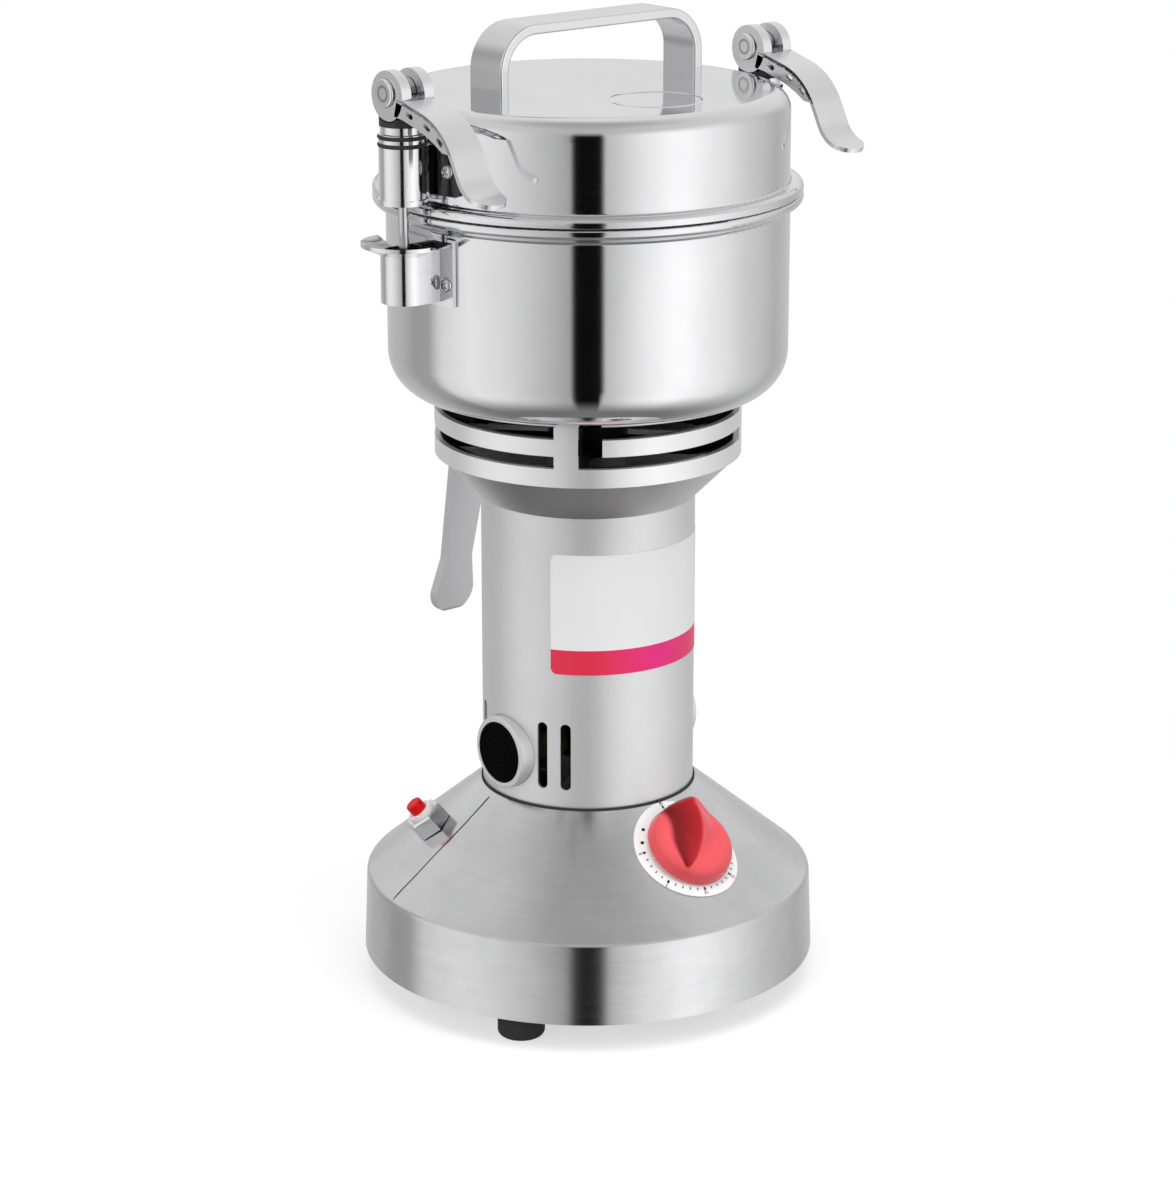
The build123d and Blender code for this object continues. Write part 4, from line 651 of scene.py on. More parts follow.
# The first three of each are the material's name, its colour or grey level, and its roughness.
# The frame brings plain materials named strap_steel, laminations, brush_brass and rubber_black, and
# Finish.material returns those as they are, so the numbers of these four finishes don't show.
# Near-black inside the motor tube and the neck casting: painted shade where their insides lie in shadow.
PAINTED_SHADE_INSIDE = 0.012
GROUND = {"tooling": Tooling.STRAIGHT, "turn": (0, 0, 90)}
UNTOOLED = {"tooling": Tooling.NONE}
CHROMED = {**UNTOOLED, "fineness": 500.0, "streak": 0.03}
SKIRT_STEEL = ReflectedLineMetal(
    "skirt_steel", (0.79, 0.79, 0.80), 0.16, fineness=1300.0, streak=0.16, mottle=0.10, depth=5e-6
)
RIVET_CHROME = RivetMetal("rivet_chrome", 0.90, 0.10, streak=0.02, depth=1e-6)
BOWL_STEEL = Metal("bowl_polish", (0.82, 0.82, 0.83), 0.075, fineness=2200.0, streak=0.05, depth=2.5e-6)
LID_STEEL = Metal("lid_polish", (0.82, 0.82, 0.83), 0.075, fineness=2000.0, streak=0.06, depth=3e-6)
TUBE_STEEL = TwoToneMetal(
    "tube_satin", PAINTED_SHADE_INSIDE, 0.46, fineness=1400.0, depth=12e-6, streak=0.06, metallic=0.75,
    far=0.80, reach=0.0418, **UNTOOLED,
)
HANDLE_STEEL = Metal(
    "handle_steel", (0.80, 0.80, 0.81), 0.09, tooling=Tooling.STRAIGHT, fineness=2200.0, depth=4e-6
)
STRAP_STEEL = Metal("strap_steel", (0.60, 0.60, 0.61), 0.34, fineness=1800.0, depth=4e-6, **GROUND)
NECK_ALUMINIUM = TurnedCasting(
    "neck_turned", PAINTED_SHADE_INSIDE, 0.34, streak=0.07, depth=5e-6, metallic=0.7, far=0.94, reach=0.0590
)
FRAME_ALUMINIUM = Metal(
    "frame_cast", (0.60, 0.60, 0.61), 0.5, fineness=900.0, depth=40e-6, mottle=0.12, **UNTOOLED
)
CLAMP_CHROME = Metal("clamp_chrome", (0.84, 0.84, 0.85), 0.12, **CHROMED)
BARREL_CHROME = TwoToneMetal(
    "barrel_chrome", (0.84, 0.84, 0.85), 0.12, axis_x=CLAMP_X, reach=0.0097, **CHROMED
)
LEVER_STEEL = Metal(
    "lever_steel", (0.86, 0.86, 0.87), 0.24, fineness=1600.0, depth=5e-6, streak=0.06, **GROUND
)
FASTENER_ZINC = Metal(
    "fastener_zinc", (0.66, 0.66, 0.67), 0.22, fineness=1200.0, depth=10e-6, streak=0.10, **UNTOOLED
)
BLADE_STEEL = Metal("blade_ground", (0.76, 0.76, 0.77), 0.2, fineness=2600.0, **GROUND)
PLATE_ZINC = Metal(
    "plate_zinc", (0.12, 0.12, 0.125), 0.45, fineness=600.0, depth=20e-6, mottle=0.25, **UNTOOLED
)
LAMINATIONS = Metal("laminations", (0.26, 0.26, 0.28), 0.45, fineness=4000.0, depth=30e-6, streak=0.5)
# Varnished copper, darkened further as painted shade for the windings inside the tube.
COPPER = Metal("winding_copper", (0.12, 0.042, 0.018), 0.5, fineness=2500.0, depth=40e-6, streak=0.3)
BRASS = Metal("brush_brass", (0.74, 0.55, 0.24), 0.25, tooling=Tooling.STRAIGHT, fineness=2000.0)
BLACK_PLASTIC = Plastic("black_moulding", (0.018, 0.018, 0.02), 0.42, grain=0.0007, depth=20e-6, mottle=0.1)
CAP_PLASTIC = Plastic("cap_moulding", 0.002, 0.5, grain=0.0007, specular=0.02, mottle=0.1)
WHITE_PLASTIC = Plastic("white_moulding", (0.84, 0.84, 0.83), 0.35, mottle=0.03)
# Red moulding whose green and blue are raised as painted sheen, which makes the lobes pinkish.
KNOB_RED = KnobPlastic(
    "knob_red", (0.80, 0.095, 0.110), 0.30, grain=0.0009, depth=8e-6, coat=0.3, specular=0.1, mottle=0.05
)
BUTTON_RED = Plastic("button_red", (0.66, 0.003, 0.005), 0.30, specular=0.2, mottle=0.05)
DIAL_ENAMEL = Plastic("dial_enamel", 0.86, 0.3, grain=0.0012, depth=4e-6, mottle=0.02)
DIAL_INK = Plastic("dial_ink", (0.010, 0.010, 0.011), 0.6, specular=0.2, mottle=0.2, patch=0.002)
RUBBER = Plastic("rubber_black", (0.014, 0.014, 0.015), 0.62, grain=0.0010, depth=40e-6, mottle=0.15)
SEAL_SILICONE = Plastic("seal_silicone", (0.80, 0.80, 0.78), 0.5)
CARBON = Plastic("carbon_block", (0.035, 0.035, 0.038), 0.6, grain=0.0005, depth=20e-6, mottle=0.2)
LABEL_STOCK = Print("label_stock", 0.87, 0.33, mottle=0.02)


# ---------------------------------------------------------------- mesh helpers


def linked(name: str, data: bpy.types.ID) -> bpy.types.Object:
    """Returns a new object in the scene."""
    thing = bpy.data.objects.new(name, data)
    bpy.context.scene.collection.objects.link(thing)
    return thing


def finished(name: str, mesh: Mesh) -> bpy.types.Mesh:
    """Returns the mesh data of a shape, which is used up."""
    data = bpy.data.meshes.new(name)
    mesh.to_mesh(data)
    mesh.free()
    return data


def lathe(profile: Iterable[Pair], steps: int, closed: bool = False) -> Mesh:
    """Turns a profile round the Z axis.

    Args:
        profile: radius and height of each corner.
        steps: the number of faces round the axis.
        closed: whether the profile's last corner joins its first, away from the axis.

    Returns:
        A closed mesh with its faces outwards.
    """
    mesh = bmesh.new()
    corners = [mesh.verts.new((radius, 0, height)) for radius, height in profile]
    ends = corners[1:] + corners[:1] if closed else corners[1:]
    edges = [mesh.edges.new(pair) for pair in zip(corners, ends)]
    line, turn = corners + edges, math.tau
    bmesh.ops.spin(mesh, geom=line, cent=(0, 0, 0), axis=(0, 0, 1), angle=turn, steps=steps, use_merge=True)
    bmesh.ops.remove_doubles(mesh, verts=mesh.verts[:], dist=SAME_PLACE)
    bmesh.ops.recalc_face_normals(mesh, faces=mesh.faces[:])
    return mesh


def hoop(inner: float, outer: float, low: float, high: float, steps: int) -> Mesh:
    """Returns a ring round the Z axis with a rectangular section."""
    return lathe(((inner, low), (outer, low), (outer, high), (inner, high)), steps, closed=True)


def block(size: Point, centre: Point) -> Mesh:
    """Returns a box of a given size and centre."""
    mesh = bmesh.new()
    bmesh.ops.create_cube(mesh, size=1.0)
    bmesh.ops.scale(mesh, vec=size, verts=mesh.verts[:])
    bmesh.ops.translate(mesh, vec=centre, verts=mesh.verts[:])
    return mesh


def thicken(mesh: Mesh, thickness: float) -> None:
    """Gives flat faces at Z of 0 a thickness upwards."""
    grown = bmesh.ops.extrude_face_region(mesh, geom=mesh.faces[:])["geom"]
    top = [part for part in grown if isinstance(part, bmesh.types.BMVert)]
    bmesh.ops.translate(mesh, vec=(0, 0, thickness), verts=top)
    bmesh.ops.recalc_face_normals(mesh, faces=mesh.faces[:])


def plate(outline: Iterable[Pair], thickness: float) -> Mesh:
    """Returns a flat plate with its outline in X and Y, between Z of 0 and its thickness."""
    mesh = bmesh.new()
    mesh.faces.new([mesh.verts.new((x, y, 0)) for x, y in outline])
    thicken(mesh, thickness)
    return mesh


def strip(
    run: Pair, width: float, thickness: float, corner: float, steps: int, lengths: int, foot: bool = False
) -> Mesh:
    """Cuts a flat strip that can be bent along X.

    Args:
        run: where it starts and ends along X.
        width: its width, half on each side of the X axis.
        thickness: its thickness, upwards from Z of 0.
        corner: the size of its round corners.
        steps: the number of faces round each of them.
        lengths: the number of equal lengths between its folds.
        foot: whether the corners at its start stay square.

    Returns:
        The strip, a closed mesh.
    """
    mesh = bmesh.new()
    start, end = run
    middle = (start + end) / 2
    bmesh.ops.create_grid(mesh, x_segments=1, y_segments=1, size=0.5)
    bmesh.ops.scale(mesh, vec=(end - start, width, 1), verts=mesh.verts[:])
    bmesh.ops.translate(mesh, vec=(middle, 0, 0), verts=mesh.verts[:])
    tips = [tip for tip in mesh.verts if not foot or tip.co.x > middle]
    bmesh.ops.bevel(
        mesh, geom=tips, offset=corner, segments=steps, profile=0.5, affect="VERTICES", material=-1
    )
    for fold in range(1, lengths):
        spot = (start + (end - start) * fold / lengths, 0, 0)
        whole = [*mesh.verts, *mesh.edges, *mesh.faces]
        bmesh.ops.bisect_plane(mesh, geom=whole, dist=SAME_PLACE / 10, plane_co=spot, plane_no=(1, 0, 0))
    thicken(mesh, thickness)
    return mesh


def add_copy(target: Mesh, source: Mesh, place: Matrix) -> None:
    """Adds a placed copy of one mesh to another."""
    spare = bpy.data.meshes.new("spare")
    source.to_mesh(spare)
    spare.transform(place)
    target.from_mesh(spare)
    bpy.data.meshes.remove(spare)


def combined(mesh: Mesh, other: Mesh, operation: str) -> Mesh:
    """Joins one closed mesh to another, or cuts it out.

    Args:
        mesh: the shape to keep, which is used up.
        other: the second shape, which is used up.
        operation: UNION or DIFFERENCE.

    Returns:
        The new shape.
    """
    pair = [linked(name, finished(name, shape)) for name, shape in (("kept", mesh), ("other", other))]
    cut = pair[0].modifiers.new("combined", "BOOLEAN")
    cut.object, cut.operation, cut.solver = pair[1], operation, "EXACT"
    bpy.context.view_layer.update()
    result = bmesh.new()
    result.from_object(pair[0], bpy.context.evaluated_depsgraph_get())
    for thing in pair:
        data = thing.data
        bpy.data.objects.remove(thing)
        bpy.data.meshes.remove(data)
    return result


def new_piece(
    name: str, mesh: Mesh, body: Body, finish: Finish, stands_for: Iterable[str] = ()
) -> bpy.types.Object:
    """Makes a piece of the object from a mesh.

    Args:
        name: the piece's name.
        mesh: its shape, which is used up.
        body: the body it rides on.
        finish: its surface finish.
        stands_for: the CAD nodes that it replaces.

    Returns:
        The piece's object.
    """
    data = finished(name, mesh)
    for face in data.polygons:
        face.use_smooth = True
    data.set_sharp_from_angle(angle=math.radians(SHARP_ANGLE))
    data.materials.append(finish.material())
    piece = linked(name, data)
    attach(piece, body.value)
    for node in stands_for:
        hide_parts(node)
    log.info("%s: %d faces on %s", name, len(data.polygons), body.value)
    return piece


# ---------------------------------------------------------------- the mill


class Part:
    """Anything that can be built."""

    def build(self) -> None:
        """Builds the part."""
        raise NotImplementedError


Dressing = tuple[tuple[Finish | str, ...], ...]


@dataclass
class Assembly(Part):
    """Parts that are built, and CAD nodes that get a finish: each finish with its nodes' names."""

    parts: tuple[Part, ...] = ()
    finishes: Dressing = ()

    def dress(self) -> None:
        """Gives the CAD nodes their finishes."""
        for finish, *nodes in self.finishes:
            for node in nodes:
                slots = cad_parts[node].data.materials
                slots.clear()
                slots.append(finish.material())
                log.info("%s: %s", node, finish.name)

    def build(self) -> None:
        """Builds the parts and dresses the nodes."""
        for part in self.parts:
            part.build()
        self.dress()


@dataclass
class Base(Assembly):
    """The pressed base shell with its plate, feet and gland."""

    finishes: Dressing = (
        (SKIRT_STEEL, "base_shell"),
        (PLATE_ZINC, "base_plate"),
        (RUBBER, "rubber_feet"),
        (FASTENER_ZINC, "foot_screws", "foot_nuts", "tie_bolts"),
        (BLACK_PLASTIC, "cable_gland"),
    )


@dataclass
class Dial(Part):
    """The timer's printed scale: ticks and minute numbers on the cone-shaped plate."""

    upslope: Point = (0, 0.774944, 0.632029)
    cone_radius: float = 0.0917
    cone_height: float = 0.0448
    cone_rise: float = 0.81558
    lift: float = 0.00084
    sweep: float = -285.0
    start: float = 106.0
    minutes: int = 30
    major_every: int = 5
    tick_inner: float = 0.0192
    tick_outer: float = 0.0203
    major_outer: float = 0.0206
    tick_width: float = 0.00045
    major_width: float = 0.0009
    number_radius: float = 0.0216
    number_size: float = 0.00196
    off_marks: Pair = (119.0, 136.0)
    off_width: float = 0.0012
    ink: float = 0.00006

    def on_plate(self, mesh: Mesh) -> None:
        """Lays a flat pattern in X and Y onto the plate's face."""
        for corner in mesh.verts:
            x, y, height = corner.co
            place = Vector(TIMER_CENTRE) + Vector((x, 0, 0)) + Vector(self.upslope) * y
            rise = (self.cone_radius - math.hypot(place.x, place.y)) * self.cone_rise
            place.z = self.cone_height + rise + self.lift + height
            corner.co = place

    def spoke(self, angle: float) -> Matrix:
        """Returns the turn to an angle in degrees, clockwise from the foot of the slope."""
        return Matrix.Rotation(math.pi - math.radians(angle), 4, "Z")

    def add_tick(self, mesh: Mesh, angle: float, outer: float, width: float) -> None:
        """Adds one tick at an angle."""
        size = (width, outer - self.tick_inner, self.ink)
        bar = block(size, (0, (self.tick_inner + outer) / 2, self.ink / 2))
        add_copy(mesh, bar, self.spoke(angle))
        bar.free()

    def add_number(self, mesh: Mesh, angle: float, number: int) -> None:
        """Adds a minute's number, with its foot towards the knob."""
        curve = bpy.data.curves.new("number", "FONT")
        curve.body, curve.size = str(number), self.number_size
        curve.align_x, curve.align_y = "CENTER", "CENTER"
        curve.extrude = self.ink / 2
        thing = bpy.data.objects.new("number", curve)
        digits = bpy.data.meshes.new_from_object(thing)
        digits.transform(self.spoke(angle) @ Matrix.Translation((0, self.number_radius, self.ink / 2)))
        mesh.from_mesh(digits)
        bpy.data.objects.remove(thing)
        bpy.data.curves.remove(curve)
        bpy.data.meshes.remove(digits)

    def build(self) -> None:
        """Builds the ticks, the numbers and the bold marks of the off place."""
        mesh = bmesh.new()
        for minute in range(self.minutes + 1):
            angle = self.start + minute / self.minutes * self.sweep
            if minute % self.major_every == 0:
                self.add_tick(mesh, angle, self.major_outer, self.major_width)
                self.add_number(mesh, angle, minute)
            else:
                self.add_tick(mesh, angle, self.tick_outer, self.tick_width)
        for angle in self.off_marks:
            self.add_tick(mesh, angle, self.major_outer, self.off_width)
        self.on_plate(mesh)
        new_piece("dial_scale", mesh, Body.FRAME, DIAL_INK)


@dataclass
class Knob(Part):
    """The round timer knob, with a finger ridge that falls away to its pointer."""

    rise: float = 0.0016
    radius: float = 0.0181
    top_radius: float = 0.0174
    height: float = 0.0153
    underside: float = 0.0001
    pointer_height: float = 0.0078
    crest_round: float = 0.0014
    flank: float = 0.86
    dome_height: float = 0.0086
    dome_fall: float = 0.0014
    valley_round: float = 0.0012
    shoulder: float = 0.0058
    shoulder_drop: float = 0.55
    skirt_drop: float = 0.12
    hollow_radius: float = 0.0088
    hollow_depth: float = 0.0034
    rings: int = 22
    shoulder_steps: int = 12
    steps: int = 168

    def face(self, x: float, y: float) -> float:
        """Returns the height of the knob's face over its base."""
        dome = self.dome_height - self.dome_fall * (x * x + y * y) / self.radius**2
        along = min(max((y + RIDGE.reach) / RIDGE.run, 0.0), 1.0)
        rise = along * along * (3 - 2 * along)
        crest = self.pointer_height + (self.height - self.pointer_height) * rise
        side = x + RIDGE.bow * (2 * along - RIDGE.bend) ** 2 - RIDGE.lift
        ridge = crest - self.flank * (math.hypot(side, self.crest_round) - self.crest_round)
        return (dome + ridge + math.hypot(dome - ridge, self.valley_round)) / 2

    def blank(self) -> Mesh:
        """Returns a round blank of the knob's full height, hollow underneath."""
        flat = self.top_radius - self.shoulder
        profile = [(0, self.hollow_depth), (self.hollow_radius, self.hollow_depth), (self.hollow_radius, 0)]
        profile += [(self.radius, 0), (self.radius, self.skirt_drop * self.height)]
        for step in range(self.shoulder_steps + 1):
            bend = math.pi / 2 * (1 - step / self.shoulder_steps)
            fall = self.shoulder_drop * (1 - math.cos(bend))
            profile.append((flat + self.shoulder * math.sin(bend), self.height * (1 - fall)))
        profile += [(flat * (1 - ring / self.rings), self.height) for ring in range(1, self.rings + 1)]
        return lathe(profile, self.steps)

    def build(self) -> None:
        """Shapes the face of the blank and sets it on the timer's shaft."""
        mesh = self.blank()
        for corner in mesh.verts:
            x, y, z = corner.co
            if max(math.hypot(x, y) - self.hollow_radius, z - self.hollow_depth) > self.underside:
                corner.co.z = z / self.height * self.face(x, y)
        slope = Matrix.Rotation(math.radians(RIDGE.slope), 4, "X")
        pointer = Matrix.Rotation(-math.radians(RIDGE.turn), 4, "Z")
        place = Matrix.Translation(TIMER_CENTRE) @ slope @ Matrix.Translation((0, 0, self.rise)) @ pointer
        bmesh.ops.transform(mesh, matrix=place, verts=mesh.verts[:])
        piece = new_piece("timer_knob_moulding", mesh, Body.KNOB, KNOB_RED, ("timer_knob",))
        piece.visible_glossy = False


@dataclass
class Timer(Assembly):
    """The timer with its scale and red knob."""

    parts: tuple[Part, ...] = (Dial(), Knob())
    finishes: Dressing = (
        (DIAL_ENAMEL, "timer_dial_plate"),
        (FASTENER_ZINC, "timer_shaft", "timer_nut"),
        (BLACK_PLASTIC, "timer_body"),
    )


@dataclass
class Overload(Assembly):
    """The overload breaker with its red reset button."""

    finishes: Dressing = (
        (BUTTON_RED, "reset_button"),
        (CLAMP_CHROME, "reset_nut"),
        (WHITE_PLASTIC, "breaker_body"),
    )


@dataclass
class Label(Part):
    """The bare name label, rolled round the motor tube."""

    tube: float = 0.0432
    gap: float = 0.00006
    stock: float = 0.00014
    low: float = 0.1410
    high: float = 0.1905
    half_angle: float = 60.0
    corner: float = 0.0026
    corner_steps: int = 6
    lengths: int = 48

    def build(self) -> None:
        """Cuts the label flat with round corners and rolls it."""
        half, width = math.radians(self.half_angle) * self.tube, self.high - self.low
        mesh = strip((-half, half), width, self.stock, self.corner, self.corner_steps, self.lengths)
        for corner in mesh.verts:
            turn, radius = corner.co.x / self.tube, self.tube + self.gap + corner.co.z
            height = (self.low + self.high) / 2 + corner.co.y
            corner.co = (radius * math.sin(turn), -radius * math.cos(turn), height)
        bmesh.ops.recalc_face_normals(mesh, faces=mesh.faces[:])
        new_piece("label", mesh, Body.FRAME, LABEL_STOCK)


@dataclass
class BrushCaps(Part):
    """The two screwed caps over the carbon brushes, with fine rings turned in their faces."""

    height: float = 0.104
    face: float = 0.0474
    root: float = 0.0442
    radius: float = 0.0124
    edge: float = 0.0006
    rings: tuple[float, ...] = (0.0042, 0.0066, 0.0088, 0.0106)
    ring_width: float = 0.0007
    ring_depth: float = 0.0003
    steps: int = 96

    def one(self) -> Mesh:
        """Returns one cap along Z, its root at the origin."""
        deep, half = self.face - self.root, self.ring_width / 2
        profile = [(0, deep)]
        for ring in self.rings:
            profile += [(ring - half, deep), (ring, deep - self.ring_depth), (ring + half, deep)]
        profile += [(self.radius - self.edge, deep), (self.radius, deep - self.edge)]
        return lathe([*profile, (self.radius, 0), (0, 0)], self.steps)

    def build(self) -> None:
        """Builds both caps in place of their CAD node."""
        mesh = bmesh.new()
        cap = self.one()
        for side in (-1, 1):
            facing = Matrix.Rotation(side * math.pi / 2, 4, "Y")
            add_copy(mesh, cap, Matrix.Translation((side * self.root, 0, self.height)) @ facing)
        cap.free()
        new_piece("brush_caps_ringed", mesh, Body.FRAME, CAP_PLASTIC, ("brush_caps",))


@dataclass
class Gasket(Part):
    """The thin black ring between the base and the motor tube."""

    inner: float = 0.0433
    outer: float = 0.0440
    low: float = 0.0836
    high: float = 0.0847
    steps: int = 160

    def build(self) -> None:
        """Turns the ring round the motor's axis."""
        mesh = hoop(self.inner, self.outer, self.low, self.high, self.steps)
        new_piece("tube_gasket", mesh, Body.FRAME, RUBBER)


@dataclass
class MotorTube(Assembly):
    """The satin tube with its label, brush bosses and caps, and the gasket at its foot."""

    parts: tuple[Part, ...] = (Label(), BrushCaps(), Gasket())
    finishes: Dressing = ((TUBE_STEEL, "motor_housing", "brush_bosses"),)


@dataclass
class Motor(Assembly):
    """The series motor inside the tube."""

    finishes: Dressing = (
        (LAMINATIONS, "stator_core", "armature_core"),
        (COPPER, "field_windings", "armature_windings", "commutator"),
        (CARBON, "carbon_brushes"),
        (FASTENER_ZINC, "brush_springs", "motor_bearings", "motor_tie_rods"),
        (BRASS, "brush_holders"),
        (FRAME_ALUMINIUM, "motor_end_frame"),
        (BLADE_STEEL, "motor_shaft"),
        (BLACK_PLASTIC, "cooling_fan"),
    )


@dataclass
class Neck(Assembly):
    """The turned casting between the tube and the bowl, with the pouring handle."""

    finishes: Dressing = (
        (NECK_ALUMINIUM, "neck_casting"),
        (STRAP_STEEL, "pour_handle"),
        (FASTENER_ZINC, "pour_handle_screws"),
        (RUBBER, "shaft_seal"),
    )


@dataclass
class Bowl(Assembly):
    """The grinding bowl with its blades and catches."""

    finishes: Dressing = (
        (BOWL_STEEL, "bowl"),
        (FASTENER_ZINC, "bowl_screws"),
        (CLAMP_CHROME, "catches"),
        (BLADE_STEEL, "lower_blade", "upper_blade", "blade_spacers", "blade_nut"),
    )


@dataclass
class LidRing(Part):
    """The raised ring on the lid's top."""

    centre: Point = (0, -0.040, 0.3685)
    inner: float = 0.0176
    outer: float = 0.0185
    height: float = 0.00025
    steps: int = 96

    def build(self) -> None:
        """Turns the ring with a three-sided section and lays it on the lid."""
        middle = (self.outer + self.inner) / 2
        mesh = lathe(((self.outer, 0), (middle, self.height), (self.inner, 0)), self.steps, closed=True)
        bmesh.ops.translate(mesh, vec=self.centre, verts=mesh.verts[:])
        new_piece("lid_ring", mesh, Body.LID, LID_STEEL)


@dataclass
class Lid(Assembly):
    """The lid with its ring, seal and handle."""

    parts: tuple[Part, ...] = (LidRing(),)
    finishes: Dressing = (
        (LID_STEEL, "lid_shell"),
        (SEAL_SILICONE, "lid_seal"),
        (HANDLE_STEEL, "lid_handle"),
    )


@dataclass
class CrossScrews(Part):
    """A set of cross-recessed screws, two on each side of the mill."""

    node: str
    body: Body
    spread: float
    height: float
    head_plane: float
    inner_end: float = 0.0770
    head_radius: float = 0.0029
    head_height: float = 0.0015
    head_form: tuple[Pair, ...] = ((0, 1), (0.45, 0.97), (0.75, 0.80), (0.93, 0.52), (1, 0.2), (1, 0))
    shank_radius: float = 0.0016
    point_start: float = 0.4
    point_radius: float = 0.7
    wing: float = 0.0036
    wing_width: float = 0.0007
    recess: float = 0.0009
    lie: float = 25.0
    side_lie: float = 0.4
    turn_lie: float = 7.0
    steps: int = 40

    def one(self) -> Mesh:
        """Returns one screw along Z, its head's seat at the origin."""
        top, shank, end = self.head_height, self.shank_radius, self.inner_end - self.head_plane
        profile = [(self.head_radius * out, top * up) for out, up in self.head_form]
        profile += [(shank, 0), (shank, end + shank * self.point_start)]
        screw = lathe([*profile, (shank * self.point_radius, end), (0, end)], self.steps)
        for size in ((self.wing, self.wing_width), (self.wing_width, self.wing)):
            screw = combined(screw, block((*size, 2 * self.recess), (0, 0, top)), "DIFFERENCE")
        return screw

    def build(self) -> None:
        """Builds the set in place of its CAD node."""
        mesh = bmesh.new()
        screw = self.one()
        for side in (-90.0, 90.0):
            for turn in (-self.spread, self.spread):
                azimuth = math.radians(side + turn)
                out = Vector((math.sin(azimuth), -math.cos(azimuth), 0))
                facing = out.to_track_quat("Z", "Y").to_matrix().to_4x4()
                seat = Matrix.Translation(out * self.head_plane + Vector((0, 0, self.height)))
                lie = math.radians(self.lie + side * self.side_lie + turn * self.turn_lie)
                add_copy(mesh, screw, seat @ facing @ Matrix.Rotation(lie, 4, "Z"))
        screw.free()
        new_piece(f"{self.node}_crossed", mesh, self.body, FASTENER_ZINC, (self.node,))


